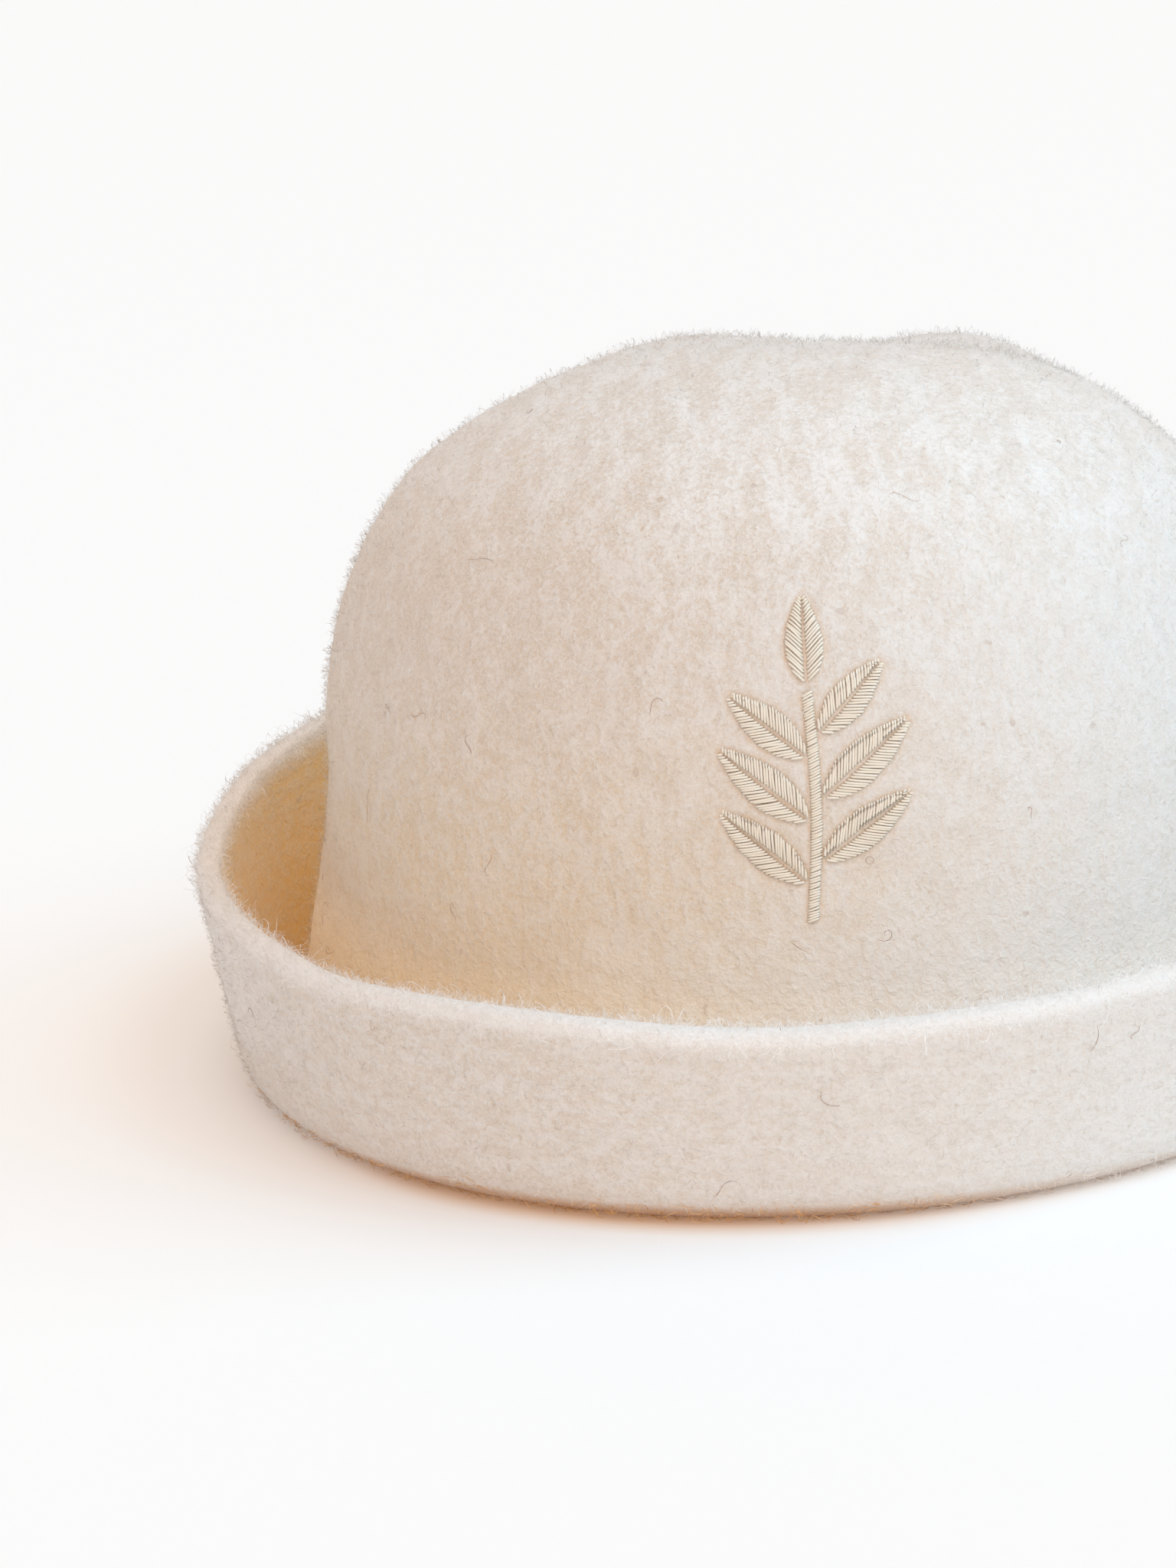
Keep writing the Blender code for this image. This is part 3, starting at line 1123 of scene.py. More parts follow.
def ring_faces(rings: int, sides: int) -> tuple[Array, Array]:
    """Faces of a closed body of rings, one end point after the rings and the other after it.

    Args:
        rings: how many rings it has.
        sides: how many points a ring has.

    Returns:
        The faces between rings, of four corners, and those at both ends, of three.
    """
    ring = np.arange(rings - 1)[:, None] * sides
    step = np.arange(sides)[None]
    after = (step + 1) % sides
    corners = [ring + step, ring + sides + step, ring + sides + after, ring + after]
    first, end, last = np.full(sides, rings * sides), (rings - 1) * sides, np.full(sides, rings * sides + 1)
    fans = [np.stack([first, step[0], after[0]], 1), np.stack([last, end + after[0], end + step[0]], 1)]
    return np.stack(corners, -1).reshape(-1, 4), np.concatenate(fans)


def set_attribute(mesh: bpy.types.Mesh, name: str, values: Array) -> None:
    """Stores a number at each point of a mesh."""
    made = mesh.attributes.new(name, "FLOAT", "POINT")
    made.data.foreach_set("value", values.astype(np.float32))


def new_piece(name: str, mesh: bpy.types.Mesh, finish: bpy.types.Material) -> bpy.types.Object:
    """Makes an object of a mesh, dresses it and seats it on the hat.

    Args:
        name: the piece's name.
        mesh: its mesh.
        finish: its material.

    Returns:
        The object.
    """
    made = bpy.data.objects.new(name, mesh)
    mesh.materials.append(finish)
    bpy.context.scene.collection.objects.link(made)
    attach(made, BODY)
    return made


def triangle_count(mesh: bpy.types.Mesh) -> int:
    """How many triangles a mesh's faces come to."""
    return sum(len(face.vertices) - 2 for face in mesh.polygons)


@dataclass(frozen=True)
class FeltShades:
    """Where the felt's shades begin and end: heights, places across and distances along the felt."""

    # Most of these masks paint light and shade into the felt's colour: warm bounce light, the shaded side and
    # its band, shade under the fold, and highlights at the rim, at the top and low on the crown.
    warm: Span = (-0.062, 0.072)  # across: the painted shade of the hat's shaded side fades out
    trapped: Span = (-0.095, 0.045)  # across: the painted bounce light trapped in the gutter fades out
    trapped_least: float = 0.12
    wall: Span = (0.006, 0.092)  # height: the painted bounce light fades out up the crown
    wall_power: float = 1.2
    wall_most: float = 0.43
    brim_fade: float = 0.15  # share of the painted bounce light that the brim loses on its way up
    crown_margin: float = 0.008  # from the crown's shades to the brim
    turn: float = 0.010  # length of the turn from crown to brim
    # painted bounce light inside the crown's hollow
    inner_gold: float = 0.55
    inner_margin: float = 0.012
    under: Span = (0.0024, 0.0042)  # height: the painted shade under the fold fades out
    under_margin: float = 0.014
    under_open: float = 0.6  # share of that painted shade that the bright side lacks
    under_side: Span = (-0.100, -0.066)
    under_least: float = 0.35
    rim: Span = (0.0050, 0.0008)  # distance from the rim over which a painted highlight grows
    # height: the top of the crown, which has broader blotches and a painted highlight
    lofty: Span = (0.080, 0.118)
    # height: the painted light low on the crown fades out
    low: Span = (0.032, 0.049)
    low_margin: float = 0.004
    # the far left of the brim's outer face: painted light
    far_left: Span = (-0.112, -0.090)
    far_left_height: Span = (0.006, 0.018)
    far_left_most: float = 1.4
    # heights at which the band of painted shade on the crown's shaded side begins and ends
    band_start: Span = (0.037, 0.058)
    band_end: Span = (0.098, 0.124)

    def marks(self, points: Array, side: Array, length: Array, line: Section) -> dict[str, Array]:
        """Numbers for each point of the felt.

        Args:
            points: places, one a row.
            side: the value of the face that each lies on.
            length: the distance of each along the middle line.
            line: the middle line.

        Returns:
            The numbers, under the names that the felt's finish reads.
        """
        across, height = points[:, 0], points[:, 2]
        outside, inside = side == Face.OUTSIDE.value, side == Face.INSIDE.value
        start, end = line.brim_start(), line.length[-1]
        on_crown = outside & (length < start - self.crown_margin)
        # painted shade on the hat's shaded side, fading out across the hat
        warmth = 1 - smooth_step(across, *self.warm)
        # painted warm bounce light, strongest on the shaded left and low on the crown
        trapped = self.trapped_least + (1 - self.trapped_least) * (1 - smooth_step(across, *self.trapped))
        up_wall = (1 - smooth_step(height, *self.wall)) ** self.wall_power
        up_wall = self.wall_most * np.tanh(up_wall / self.wall_most)
        up_brim = 1 - self.brim_fade * smooth_step(length, start, end)
        golden = np.where(on_crown, up_wall, np.where(outside, up_brim, 0.0)) * trapped
        golden = np.where(inside, self.inner_gold * (length < start - self.inner_margin), golden)
        # painted shade under the fold, weaker on the bright side and at the far left
        under = inside * (1 - smooth_step(height, *self.under)) * (length > start - self.under_margin)
        under = under * (1 - self.under_open * open_side(points))
        under = under * (self.under_least + (1 - self.under_least) * smooth_step(across, *self.under_side))
        # painted highlight growing towards the rim
        near_rim = smooth_step(length, end - self.rim[0], end - self.rim[1])
        rim = np.where(side == Face.EDGE.value, 1.0, near_rim)
        # painted light low on the crown, and on the brim's outer face at the far left
        low = (1 - smooth_step(height, *self.low)) * (outside & (length < end - self.low_margin))
        far_left = (1 - smooth_step(across, *self.far_left)) * smooth_step(height, *self.far_left_height)
        # a band of painted shade up the crown, on its shaded side
        band = smooth_step(height, *self.band_start) * (1 - smooth_step(height, *self.band_end))
        return {
            "turned_up": smooth_step(length, start - self.turn, start),
            "golden": golden * (1 - rim),
            "warmth": warmth,
            "deep": band * warmth * on_crown,
            "lofty": smooth_step(height, *self.lofty) * on_crown,
            "low": np.maximum(low, far_left * inside * self.far_left_most),
            "under": under,
            "rim": rim,
        }


@dataclass
class FeltBody:
    """The crown, the fold and the turned-up brim: one piece of napped felt."""

    form: HatForm
    pattern: SprigPattern
    shades: FeltShades = FeltShades()
    fine_step: float = 0.00060
    plain_step: float = 0.0020
    hidden_step: float = 0.0050
    across_change: float = 0.006  # distances over which the steps change
    height_change: float = 0.004
    hidden_change: float = 0.012
    sprig_margin: float = 0.0035
    press_depth: float = 0.00016
    press_width: float = 0.0010
    pressed_width: float = 0.0007  # of the felt round the stitches that takes painted shade
    lip_height: float = 0.00010
    lip_place: float = 1.35  # in press widths
    lip_width: float = 0.5
    front_margin: float = 0.004
    edge_steps: int = 10
    edge_rounding: float = 0.0017
    edge_power: float = 0.85
    rim_wobble: Ripple = Ripple(length=0.028, height=0.00016, seed=21)
    wobble_radius: float = 0.1
    wobble_start: float = 0.55  # share of the brim above which it wobbles
    line: Section = field(default=None, init=False)
    points: Array = field(default=None, init=False)
    faces: Array = field(default=None, init=False)
    side: Array = field(default=None, init=False)
    length: Array = field(default=None, init=False)
    golden: Array = field(default=None, init=False)

    def _window(self) -> tuple[float, float, float]:
        """The part of the crown that the sprig takes up.

        Returns:
            Half its width about x = 0, its lowest height and its highest, each with a margin.
        """
        drawn = self.pattern
        half = max(leaf.length for leaf in drawn.leaves) + abs(drawn.x) + drawn.stand_off
        top = drawn.foot + drawn.stem_length + drawn.leaves[-1].length + drawn.stand_off
        return half + self.sprig_margin, drawn.foot - self.sprig_margin, top + self.sprig_margin

    def _angles(self) -> Array:
        """Angles round the hat, closer together at the sprig.

        Returns:
            The angles in radians.
        """
        half_window, _, _ = self._window()
        round_length = 2 * math.pi * self.form.crown_half_width
        front = round_length * 0.75  # the front is three quarters of the way round

        def step(along: Array) -> Array:
            """The spacing at places round the hat."""
            near = 1 - smooth_step(np.abs(along - front), half_window, half_window + self.across_change)
            return self.plain_step + (self.fine_step - self.plain_step) * near

        return 2 * math.pi * spread_rows(round_length, step)[:-1] / round_length

    def _rows(self, face: Face) -> Array:
        """Distances along the middle line of the rows on one face.

        Args:
            face: the outside or the inside.

        Returns:
            The distances in metres, from the dome's top.
        """
        _, low, high = self._window()
        line, change = self.line, self.height_change
        wall_end = self.form.wall_end(line)

        def outside(along: Array) -> Array:
            """The spacing on the outside, closer at the sprig.

            Args:
                along: distances along the middle line.

            Returns:
                The spacing in metres.
            """
            height = np.interp(along, line.length, line.height)
            near = smooth_step(height, low - change, low) * (1 - smooth_step(height, high, high + change))
            return self.plain_step + (self.fine_step - self.plain_step) * near * (along < wall_end)

        def inside(along: Array) -> Array:
            """The spacing on the inside, wider where it is hidden."""
            hidden = 1 - smooth_step(along, wall_end - self.hidden_change, wall_end)
            return self.plain_step + (self.hidden_step - self.plain_step) * hidden

        return spread_rows(line.length[-1] - self.edge_rounding, outside if face is Face.OUTSIDE else inside)

    def _ring(self, angles: Array, length: float, face: Face, reach: float = 0.0, back: float = 0.0) -> Array:
        """Points of one ring round the hat.

        Args:
            angles: the angle of each point, in radians.
            length: the ring's distance along the middle line.
            face: the face that it lies on. On the edge, reach and back place it.
            reach: distance from the middle line, towards the crown's outside if above 0.
            back: distance from the rim back into the brim.

        Returns:
            The places, one a row.
        """
        station = self.line.at(np.full(len(angles), length))
        if face is not Face.EDGE:
            reach = face.value * self.form.half_thickness(station.height, station.half_width)
        circle = np.stack([np.cos(angles), np.sin(angles), angles * 0], 1) * self.wobble_radius
        points = self.form.place(station, angles, reach, back)
        points[:, 2] += smooth_step(station.turned_up, self.wobble_start, 1.0) * self.rim_wobble.at(circle)
        return points

    def _edge(self, angles: Array) -> list[Array]:
        """Rings round the rim's cut edge, from the outside to the inside.

        Args:
            angles: the angle of each point of a ring, in radians.

        Returns:
            The rings, each with one place a row.
        """
        rings = []
        for step in range(self.edge_steps + 1):
            turn = math.pi * step / self.edge_steps
            across, out = math.cos(turn), math.sin(turn)
            reach = math.copysign(abs(across) ** self.edge_power, across) * self.form.half_brim
            back = self.edge_rounding * (1 - abs(out) ** self.edge_power)
            rings.append(self._ring(angles, self.line.length[-1], Face.EDGE, reach, back))
        return rings

    def build(self) -> bpy.types.Mesh:
        """Builds the mesh.

        Returns:
            One closed body, with the numbers that its finish reads stored at its points.
        """
        self.line = self.form.middle_line()
        angles = self._angles()
        outside, inside = self._rows(Face.OUTSIDE)[1:-1], self._rows(Face.INSIDE)[-2:0:-1]
        edge = self._edge(angles)
        rings = [self._ring(angles, length, Face.OUTSIDE) for length in outside] + edge
        rings += [self._ring(angles, length, Face.INSIDE) for length in inside]
        tops = [self._ring(np.zeros(1), 0.0, face) for face in (Face.OUTSIDE, Face.INSIDE)]
        faces = [Face.OUTSIDE.value] * len(outside) + [Face.EDGE.value] * len(edge)
        faces += [Face.INSIDE.value] * len(inside)
        lengths = [*outside, *[self.line.length[-1]] * len(edge), *inside]
        self.side = np.concatenate([np.repeat(faces, len(angles)), [Face.OUTSIDE.value, Face.INSIDE.value]])
        self.length = np.concatenate([np.repeat(lengths, len(angles)), [0.0, 0.0]])
        self.points, pressed = self._press_sprig(np.concatenate(rings + tops))

        quads, fans = ring_faces(len(rings), len(angles))
        self.faces = np.concatenate([quads[:, [0, 1, 2]], quads[:, [0, 2, 3]], fans])
        mesh = bpy.data.meshes.new("felt_body")
        mesh.from_pydata(self.points.tolist(), [], quads.tolist() + fans.tolist())
        mesh.validate()
        mesh.shade_smooth()
        marks = self.shades.marks(self.points, self.side, self.length, self.line)
        # the painted bounce light, kept for the fibres that grow on the felt
        self.golden = marks["golden"]
        for name, values in (marks | {"pressed": pressed}).items():
            set_attribute(mesh, name, values)
        return mesh

    def _press_sprig(self, points: Array) -> tuple[Array, Array]:
        """Sinks the felt under the stitches and lifts a soft lip round them.

        Args:
            points: places of the felt's points, one a row.

        Returns:
            The moved places, and how far each is covered by stitches, from 0 to 1, which the finish uses for
            painted shade round them.
        """
        half_window, low, high = self._window()
        front = self.form.crown_half_width + self.form.oval + self.front_margin
        near = (self.side == Face.OUTSIDE.value) & (points[:, 1] < 0) & (np.abs(points[:, 0]) < half_window)
        near &= (points[:, 2] > low) & (points[:, 2] < high)
        half_up_brim = np.interp(0.5, self.line.turned_up, self.line.length)
        near &= self.length < half_up_brim
        near &= np.hypot(points[:, 0], points[:, 1]) < front
        away = self.pattern.distance(points[near, 0], points[near, 2])
        sink = self.press_depth * (1 - smooth_step(away, 0.0, self.press_width))
        past_lip = (away - self.lip_place * self.press_width) / (self.lip_width * self.press_width)
        lip = self.lip_height * np.exp(-(past_lip**2))
        flat = points[near] * (1.0, 1.0, 0.0)
        outward = flat / np.linalg.norm(flat, axis=1, keepdims=True)
        points[near] += outward * (lip - sink)[:, None]
        # mask of the painted shade round the stitches
        pressed = np.zeros(len(points))
        pressed[near] = 1 - smooth_step(away, 0.0, self.pressed_width)
        return points, pressed

    def dress(self) -> None:
        """Builds the piece with its finish."""
        made = new_piece("felt_body", self.build(), WoolFelt().make())
        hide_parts("felt_hat")
        log.info("%s: %d triangles", made.name, triangle_count(made.data))


class Zone(Enum):
    """Parts of the felt's skin that grow fibres."""

    CROWN = "crown"
    BRIM = "brim"
    GUTTER = "gutter"
    RIM = "rim"
    FOLD = "fold"


@dataclass(frozen=True)
class FibreField:
    """How many fibres one zone grows, and of what kind."""

    name: str
    zone: Zone
    count: int
    length: Span
    rise: Span
    curl: float
    seed: int
    thickness: Span = (0.00010, 0.00016)
    rings: int = 1
    loose: float = 0.35  # share of the fibres with a free end
    skyward: float = 0.6  # how much of the light from above a fibre takes


@dataclass
class Nap:
    """The fibres that stand off the felt."""

    felt: FeltBody
    floor_clearance: float = 0.00008
    sides: int = 3
    gutter_reach: float = 0.014  # from the brim's start back along the felt
    rim_reach: float = 0.003
    brim_reach: Span = (0.004, 0.001)  # before the brim's start, and short of the rim
    fold_reach: Span = (0.012, 0.002)  # before and past the brim's start
    brim_lowest: float = 0.0042
    fold_highest: float = 0.0045
    sprig_gap: float = 0.0004
    sunk: float = 0.00008  # depth of a fibre's root
    loose_lift: Span = (1.3, 1.25)  # power and height of a free end's climb
    twist_turn: float = 3.1
    outward: float = 0.6  # how much of the light from the side a fibre takes

    def _zone_faces(self, zone: Zone) -> Array:
        """The felt's triangles that lie in a zone.

        Args:
            zone: the zone.

        Returns:
            The three corners of each triangle, one triangle a row.
        """
        felt, faces = self.felt, self.felt.faces
        length, height = felt.length[faces].mean(1), felt.points[faces].mean(1)[:, 2]
        start, end = felt.line.brim_start(), felt.line.length[-1]
        outside = (felt.side[faces] == Face.OUTSIDE.value).all(1)
        inside = (felt.side[faces] == Face.INSIDE.value).all(1)
        edge = (felt.side[faces] == Face.EDGE.value).any(1)
        gutter, top = start - self.gutter_reach, end - self.rim_reach
        on_brim = (length > start - self.brim_reach[0]) & (length < end - self.brim_reach[1])
        on_fold = (length > start - self.fold_reach[0]) & (length < start + self.fold_reach[1])
        found = {
            Zone.CROWN: outside & (length < gutter),
            Zone.GUTTER: outside & (length >= gutter) & (length < top),
            Zone.BRIM: inside & on_brim & (height > self.brim_lowest),
            Zone.RIM: edge | ((outside | inside) & (length > top)),
            Zone.FOLD: inside & on_fold & (height < self.fold_highest),
        }
        return faces[found[zone]]

    def _clear_of_sprig(self, points: Array) -> Array:
        """Which places aren't on the stitches."""
        away = self.felt.pattern.distance(points[:, 0], points[:, 2])
        return (points[:, 1] >= 0) | (away >= self.sprig_gap)

    def build(self, fibres: FibreField) -> bpy.types.Mesh:
        """Builds a field of fibres as one mesh.

        Args:
            fibres: what grows, and where.

        Returns:
            The mesh, with each fibre's shade stored at its points.
        """
        chance = np.random.default_rng(fibres.seed)
        faces = self._zone_faces(fibres.zone)
        corners = self.felt.points[faces]
        normals = np.cross(corners[:, 1] - corners[:, 0], corners[:, 2] - corners[:, 0])
        areas = np.linalg.norm(normals, axis=1)
        normals /= np.maximum(areas, TINY)[:, None]
        picked = chance.choice(len(faces), fibres.count, p=areas / areas.sum())
        u, v = chance.random((2, fibres.count))
        over = u + v > 1
        u[over], v[over] = 1 - u[over], 1 - v[over]
        root = corners[picked, 0] + u[:, None] * (corners[picked, 1] - corners[picked, 0])
        root += v[:, None] * (corners[picked, 2] - corners[picked, 0])
        # each fibre takes the painted bounce light of the felt at its root
        normal, golden = normals[picked], self.felt.golden[faces].mean(1)[picked]
        if fibres.zone is Zone.CROWN:
            kept = self._clear_of_sprig(root)
            root, normal, golden = root[kept], normal[kept], golden[kept]
        path = self._paths(fibres, root, normal, chance)
        width = chance.uniform(*fibres.thickness, len(root)) / 2
        marks = {"shade": chance.random(len(root)), "golden": golden, "open_side": open_side(root)}
        outward = root * (1.0, 1.0, 0.0) / np.linalg.norm(root[:, :2], axis=1, keepdims=True)
        facing = normal + (outward * self.outward + (0.0, 0.0, 1.0)) * fibres.skyward
        facing /= np.linalg.norm(facing, axis=1, keepdims=True)
        return tube_mesh(fibres.name, path, width, marks, self.sides, facing=facing)

    def _paths(self, fibres: FibreField, root: Array, normal: Array, chance: np.random.Generator) -> Array:
        """Curved paths of fibres over the felt.

        Args:
            fibres: their kind.
            root: where each grows, one a row.
            normal: the felt's direction there.
            chance: source of differences.

        Returns:
            The points that each follows, fibre by point by axis.
        """
        count = len(root)
        spin = chance.uniform(0, 2 * math.pi, count)
        helper = np.where(np.abs(normal[:, 2:]) < 0.8, (0.0, 0.0, 1.0), (1.0, 0.0, 0.0))
        east = np.cross(helper, normal)
        east /= np.linalg.norm(east, axis=1, keepdims=True)
        north = np.cross(normal, east)
        length = chance.uniform(*fibres.length, count)
        rise = chance.uniform(*fibres.rise, count) * chance.random(count) ** 0.5
        bend, twist = chance.normal(0, fibres.curl, count), chance.normal(0, fibres.curl, count)
        free = chance.random(count) < fibres.loose

        share = np.linspace(0, 1, fibres.rings + 2)
        steps = share[1:] - share[:-1]
        heading = spin[:, None] + bend[:, None] * (share[None] - 0.5) * 2
        heading = heading + twist[:, None] * np.sin(self.twist_turn * share)[None]
        tangent = np.cos(heading)[..., None] * east[:, None] + np.sin(heading)[..., None] * north[:, None]
        stride = (length[:, None] * steps[None])[..., None] * (tangent[:, :-1] + tangent[:, 1:]) / 2
        path = np.concatenate([np.zeros((count, 1, 3)), np.cumsum(stride, 1)], 1)
        power, height = self.loose_lift
        climb = np.where(free[:, None], share[None] ** power * height, np.sin(math.pi * share)[None])
        lift = rise[:, None] * climb - self.sunk
        path = root[:, None] + path + normal[:, None] * lift[..., None]
        path[..., 2] = np.maximum(path[..., 2], self.floor_clearance)
        return path

    def dress(self, fields: tuple[FibreField, ...], finish: bpy.types.Material) -> None:
        """Builds each field with a finish.

        Args:
            fields: the fields to grow.
            finish: the material that they share.
        """
        for fibres in fields:
            made = new_piece(fibres.name, self.build(fibres), finish)
            made.visible_shadow = False
            log.info("%s: %d triangles", made.name, triangle_count(made.data))


def tube_mesh(
    name: str,
    path: Array,
    radius: Array,
    marks: dict[str, Array],
    sides: int,
    blunt: bool = False,
    facing: Array | None = None,
) -> bpy.types.Mesh:
    """One mesh of many closed tubes.

    Args:
        name: the mesh's name.
        path: the points that each tube follows, tube by point by axis. The first and last are its ends.
        radius: the radius of each tube.
        marks: numbers from 0 to 1, one for each tube, to store at its points under these names.
        sides: how many sides a tube has.
        blunt: whether the ends are nearly as wide as the tube, and not drawn out to a point.
        facing: the way that each tube takes the light from, as thin wool lets it through.

    Returns:
        The mesh.
    """
    tip_width, flatness, own_way = 0.7, 0.45, 0.05
    count, nodes, _ = path.shape
    ahead = np.gradient(path, axis=1)
    ahead /= np.maximum(np.linalg.norm(ahead, axis=2, keepdims=True), TINY)
    helper = np.where(np.abs(ahead[..., 2:]) < 0.9, (0.0, 0.0, 1.0), (1.0, 0.0, 0.0))
    if facing is not None:
        helper = helper * own_way + facing[:, None]
    side = np.cross(helper, ahead)
    side /= np.maximum(np.linalg.norm(side, axis=2, keepdims=True), TINY)
    upward = np.cross(ahead, side) * (1.0 if facing is None else flatness)
    rings = nodes - 2
    taper = np.ones(rings)
    if not blunt:
        taper[-1] = tip_width
    turn = (2 * math.pi * np.arange(sides) / sides + math.pi / 2)[:, None]
    spokes = np.cos(turn) * side[:, 1:-1, None] + np.sin(turn) * upward[:, 1:-1, None]
    inner = path[:, 1:-1, None] + (radius[:, None] * taper)[..., None, None] * spokes
    points = np.concatenate([inner.reshape(count, -1, 3), path[:, :1], path[:, -1:]], 1).reshape(-1, 3)
    per = rings * sides + 2
    base = np.arange(count)[:, None, None] * per
    quads, fans = ring_faces(rings, sides)
    quads = (base + quads[None, :, [0, 3, 2, 1]]).reshape(-1, 4)
    fans = (base + fans[None, :, [0, 2, 1]]).reshape(-1, 3)
    corners = np.concatenate([quads.ravel(), fans.ravel()])
    starts = np.concatenate([np.arange(len(quads)) * 4, len(quads) * 4 + np.arange(len(fans)) * 3])
    mesh = bpy.data.meshes.new(name)
    mesh.vertices.add(len(points))
    mesh.vertices.foreach_set("co", points.astype(np.float32).ravel())
    mesh.loops.add(len(corners))
    mesh.loops.foreach_set("vertex_index", corners.astype(np.int32))
    mesh.polygons.add(len(starts))
    mesh.polygons.foreach_set("loop_start", starts.astype(np.int32))
    mesh.update(calc_edges=True)
    mesh.shade_smooth()
    for mark, values in marks.items():
        set_attribute(mesh, mark, np.repeat(values, per))
    if facing is not None:
        mesh.normals_split_custom_set_from_vertices(np.repeat(facing, per, axis=0).tolist())
    return mesh


@dataclass
class StitchedSprig:
    """The sprig on the crown's front, laid stitch by stitch in satin thread."""

    form: HatForm
    pattern: SprigPattern
    thread_radius: float = 0.00021
    pitch: float = 0.00046
    slant: float = 48.0  # degrees between a stitch and the leaf's middle
    low_lift: float = -0.00005
    high_lift: float = 0.00062
    arch_power: float = 0.42
    full_span: float = 0.0016  # a shorter stitch arches less
    least_arch: float = 0.45
    jitter: Triple = (0.000035, 0.00007, 0.00002)  # of the first ends, the other ends and the lift
    leaf_end: float = 0.0006
    least_reach: float = 0.0003
    middle_gap: float = 0.00012
    stem_lead: float = 0.0004
    rounds: int = 12
    nodes: int = 8
    sides: int = 6
    seed: int = 31

    def _stitches(self, starts: Array, ends: Array, chance: np.random.Generator) -> tuple[Array, Array]:
        """Paths of stitches that arch from one edge of a field to the other.

        Args:
            starts: first ends in the plane of the front, one a row.
            ends: other ends, one a row.
            chance: source of small differences.

        Returns:
            The paths, and a shade for each.
        """
        count, share = len(starts), np.linspace(0, 1, self.nodes)
        start_jitter, end_jitter, lift_jitter = self.jitter
        starts = starts + chance.normal(0, start_jitter, starts.shape)
        ends = ends + chance.normal(0, end_jitter, ends.shape)
        flat = starts[:, None] + (ends - starts)[:, None] * share[None, :, None]
        span = np.linalg.norm(ends - starts, axis=1)
        tall = np.clip(span / self.full_span, self.least_arch, 1.0)[:, None]
        arch = np.clip(np.sin(math.pi * share), 0, 1)[None] ** self.arch_power
        lift = self.low_lift + (self.high_lift - self.low_lift) * arch * tall
        lift = lift + chance.normal(0, lift_jitter, (count, 1))
        spots = self.form.front_lifted(flat[..., 0].ravel(), flat[..., 1].ravel(), lift.ravel())
        return spots.reshape(count, self.nodes, 3), chance.random(count)

    def _leaf_stitches(self, leaf: Leaf) -> tuple[Array, Array]:
        """Ends of the stitches of a leaf, from its middle out to both edges.

        Args:
            leaf: the leaf.

        Returns:
            Where each stitch starts and where it ends, as x and z, one stitch a row.
        """
        base, along, across = self.pattern.leaf_axes(leaf)
        lead = 1 / math.tan(math.radians(self.slant))
        starts, ends = [], []
        for side in (-1, 1):
            place = 0.0
            while place < leaf.length - self.leaf_end:
                reach = leaf.half_width
                for _ in range(self.rounds):
                    far = min(place + reach * lead, leaf.length)
                    reach = float(self.pattern.leaf_width(leaf, np.array(far / leaf.length)))
                if reach > self.least_reach:
                    starts.append(base + along * place + across * side * self.middle_gap)
                    ends.append(base + along * far + across * side * reach)
                place += self.pitch / math.sin(math.radians(self.slant))
        return np.array(starts), np.array(ends)

    def _stem_stitches(self) -> tuple[Array, Array]:
        """Ends of the stitches across the stem.

        Returns:
            Where each stitch starts and where it ends, as x and z, one stitch a row.
        """
        starts, ends = [], []
        steps = round(self.pattern.stem_length / self.pitch)
        for step in range(steps + 1):
            point, way = self.pattern.stem_at(step / steps)
            across = np.array([way[1], -way[0]]) * self.pattern.stem_half_width
            starts.append(point - across - way * self.stem_lead)
            ends.append(point + across + way * self.stem_lead)
        return np.array(starts), np.array(ends)

    def dress(self) -> None:
        """Stitches the stem and each leaf."""
        finish = SatinThread().make()
        chance = np.random.default_rng(self.seed)
        parts = [("stem", self._stem_stitches())]
        parts += [(leaf.name, self._leaf_stitches(leaf)) for leaf in self.pattern.leaves]
        for name, (starts, ends) in parts:
            path, shade = self._stitches(starts, ends, chance)
            radius = np.full(len(path), self.thread_radius)
            mesh = tube_mesh(f"satin_{name}", path, radius, {"shade": shade}, self.sides, blunt=True)
            made = new_piece(f"satin_{name}", mesh, finish)
            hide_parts(f"stitched_{name}")
            log.info("%s: %d stitches, %d triangles", made.name, len(path), triangle_count(mesh))


@dataclass(frozen=True)
class SoftLight:
    """A very large lamp, so far off that it lights all of the floor alike."""

    name: str
    azimuth: float  # degrees from the front of the hat towards its right side, seen from the camera
    elevation: float
    spread: float  # degrees across, seen from the hat
    strength: float
    colour: Colour

    def hang(self, aim: Triple) -> None:
        """Makes the lamp.

        Args:
            aim: the place that it is aimed at.
        """
        data = bpy.data.lights.new(self.name, "SUN")
        data.angle = math.radians(self.spread)
        data.energy, data.color = self.strength, self.colour
        made = bpy.data.objects.new(self.name, data)
        azimuth, elevation = math.radians(self.azimuth), math.radians(self.elevation)
        away = Vector((math.sin(azimuth), -math.cos(azimuth), 0.0)) * math.cos(elevation)
        away.z = math.sin(elevation)
        made.location = Vector(aim) + away
        made.rotation_euler = (-away).to_track_quat("-Z", "Y").to_euler()
        bpy.context.scene.collection.objects.link(made)


def turned_pair(one: Vector, other: Vector, angle: float) -> tuple[Vector, Vector]:
    """Two axes turned together by an angle in radians, the second towards the first."""
    return one * math.cos(angle) - other * math.sin(angle), other * math.cos(angle) + one * math.sin(angle)


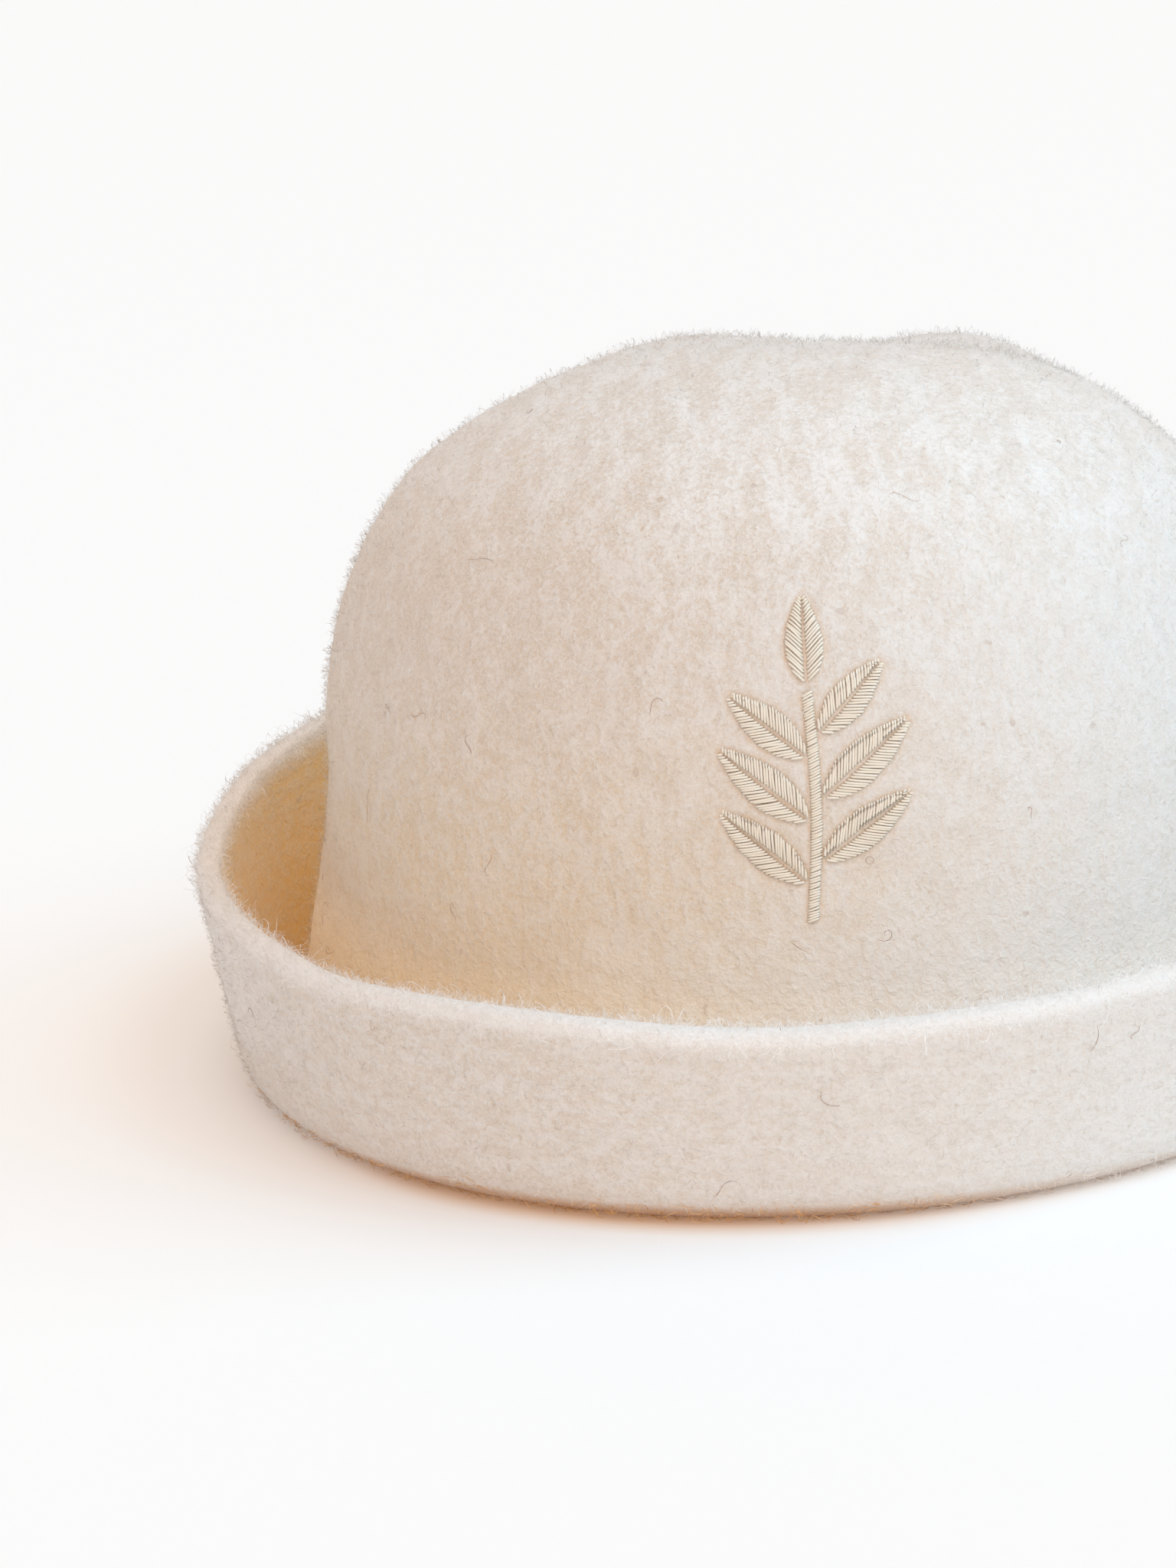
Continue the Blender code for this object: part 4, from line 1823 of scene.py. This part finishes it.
@dataclass
class Studio:
    """The pale floor, the soft light and the camera."""

    floor_half: float = 40.0
    aim: Triple = (0.0, 0.0, 0.060)
    distance: float = 0.70
    elevation: float = 12.91  # degrees
    pan: float = -0.0571  # radians; the hat sits right of the middle
    tilt: float = -0.0175
    roll: float = -0.0561
    focal_pixels: float = 4826.7  # focal length in pixels of the photograph
    sensor: float = 36.0  # millimetres
    clip: Span = (0.02, 200.0)
    backdrop: Colour = (0.955, 0.955, 0.953)
    ambient: Colour = (0.277, 0.289, 0.332)
    lamps: tuple[SoftLight, ...] = (
        SoftLight(
            "key", azimuth=85.0, elevation=45.0, spread=55.0, strength=1.60, colour=(0.390, 0.752, 0.994)
        ),
        SoftLight(
            "front", azimuth=0.0, elevation=45.0, spread=70.0, strength=1.37, colour=(1.000, 0.754, 0.579)
        ),
        SoftLight(
            "back", azimuth=180.0, elevation=50.0, spread=70.0, strength=0.80, colour=(1.000, 0.600, 0.216)
        ),
    )

    def lay_floor(self) -> None:
        """Makes the floor."""
        half = self.floor_half
        mesh = bpy.data.meshes.new("floor")
        corners = [(-half, -half, 0.0), (half, -half, 0.0), (half, half, 0.0), (-half, half, 0.0)]
        mesh.from_pydata(corners, [], [(0, 1, 2, 3)])
        made = bpy.data.objects.new("floor", mesh)
        mesh.materials.append(PaleFloor().make())
        bpy.context.scene.collection.objects.link(made)

    def paint_world(self) -> None:
        """Makes the world: a white backdrop to look at, and a dimmer, cooler room for light."""
        world = bpy.data.worlds.new("studio")
        bpy.context.scene.world = world
        world.use_nodes = True
        net = Net(world.node_tree)
        seen = net.value("LightPath", {}, {}, "Is Camera Ray")
        colour = net.mix(seen, self.ambient, self.backdrop)
        shader = net.node("Background", {}, {"Color": colour, "Strength": 1.0})
        net.node("OutputWorld", {}, {"Surface": shader.outputs["Background"]})

    def set_camera(self) -> None:
        """Makes the camera at the photograph's viewing angle."""
        elevation = math.radians(self.elevation)
        back = Vector((0.0, -math.cos(elevation), math.sin(elevation)))
        right, ahead = turned_pair(Vector((1.0, 0.0, 0.0)), -back, self.pan)
        up, ahead = turned_pair(right.cross(ahead), ahead, self.tilt)
        up, right = turned_pair(up, right, self.roll)
        data = bpy.data.cameras.new("camera")
        data.sensor_width = self.sensor
        data.lens = self.focal_pixels / max(PHOTO_SIZE) * self.sensor
        data.clip_start, data.clip_end = self.clip
        made = bpy.data.objects.new("camera", data)
        turn = Matrix((right, up, -ahead)).transposed().to_4x4()
        made.matrix_world = Matrix.Translation(Vector(self.aim) + back * self.distance) @ turn
        bpy.context.scene.collection.objects.link(made)
        bpy.context.scene.camera = made

    def set_up(self) -> None:
        """Makes the whole studio."""
        self.set_camera()
        self.lay_floor()
        for lamp in self.lamps:
            lamp.hang(self.aim)
        self.paint_world()
        bpy.context.scene.view_settings.view_transform = "Standard"
        log.info("studio: floor, %d lamps and camera", len(self.lamps))


CROWN_WOOL = {"length": (0.0014, 0.0036), "rise": (0.0004, 0.0019), "curl": 0.8, "loose": 0.5}
BRIM_WOOL = {"length": (0.0014, 0.0034), "curl": 0.8}
HAIR = {"thickness": (0.00009, 0.00012), "rise": (0.0003, 0.0008), "curl": 3.2, "rings": 9}
PALE_FIBRES = (
    FibreField("crown_nap_left", Zone.CROWN, 25000, seed=41, **CROWN_WOOL),
    FibreField("crown_nap_right", Zone.CROWN, 25000, seed=42, **CROWN_WOOL),
    FibreField("brim_nap", Zone.BRIM, 22000, seed=43, rise=(0.0003, 0.0016), **BRIM_WOOL),
    FibreField("gutter_nap", Zone.GUTTER, 12000, seed=44, rise=(0.0003, 0.0014), **BRIM_WOOL),
)
RIM_FIBRES = (
    FibreField(
        "rim_fuzz", Zone.RIM, 20000, (0.0012, 0.0028), (0.0005, 0.0019),
        curl=0.9, seed=47, loose=0.6, skyward=3.0,
    ),
    FibreField(
        "rim_curls", Zone.RIM, 2400, (0.0024, 0.0070), (0.0009, 0.0032),
        curl=2.0, seed=45, thickness=(0.00008, 0.00012), rings=5, skyward=3.0,
    ),
)
FOOT_FIBRES = (
    FibreField(
        "fold_frizz", Zone.FOLD, 4500, (0.0018, 0.0045), (0.0006, 0.0020),
        curl=1.3, seed=46, rings=2, loose=0.5, skyward=3.0,
    ),
)
DARK_HAIRS = (
    FibreField("crown_hairs", Zone.CROWN, 60, (0.0040, 0.0100), seed=51, **HAIR),
    FibreField("brim_hairs", Zone.BRIM, 26, (0.0030, 0.0080), seed=52, **HAIR),
)
# The rim's wool has a stronger painted glow; the foot's wool is coloured as painted shade, paler on the
# bright side as painted light.
COATS = (
    (PALE_FIBRES, LooseWool("loose_wool", pale=(0.95, 0.935, 0.91), warm=(0.70, 0.59, 0.47))),
    (RIM_FIBRES, LooseWool("rim_wool", pale=(0.97, 0.96, 0.95), warm=(0.76, 0.69, 0.62), glow=0.11)),
    (FOOT_FIBRES, LooseWool("shaded_wool", pale=(0.94, 0.60, 0.29), warm=(0.62, 0.30, 0.08), bright_side_pale=0.75)),
    (
        DARK_HAIRS,
        LooseWool("dark_hair", pale=(0.45, 0.28, 0.20), warm=(0.30, 0.15, 0.10), gold=(0.45, 0.28, 0.20)),
    ),
)


def main() -> None:
    """Dresses the hat and sets up the studio."""
    logging.basicConfig(level=logging.INFO, format="%(message)s", stream=sys.stdout)
    Studio().set_up()
    form, pattern = HatForm(), SprigPattern()
    felt = FeltBody(form, pattern)
    felt.dress()
    StitchedSprig(form, pattern).dress()
    nap = Nap(felt)
    for fields, finish in COATS:
        nap.dress(fields, finish.make())


if __name__ == "__main__":
    main()
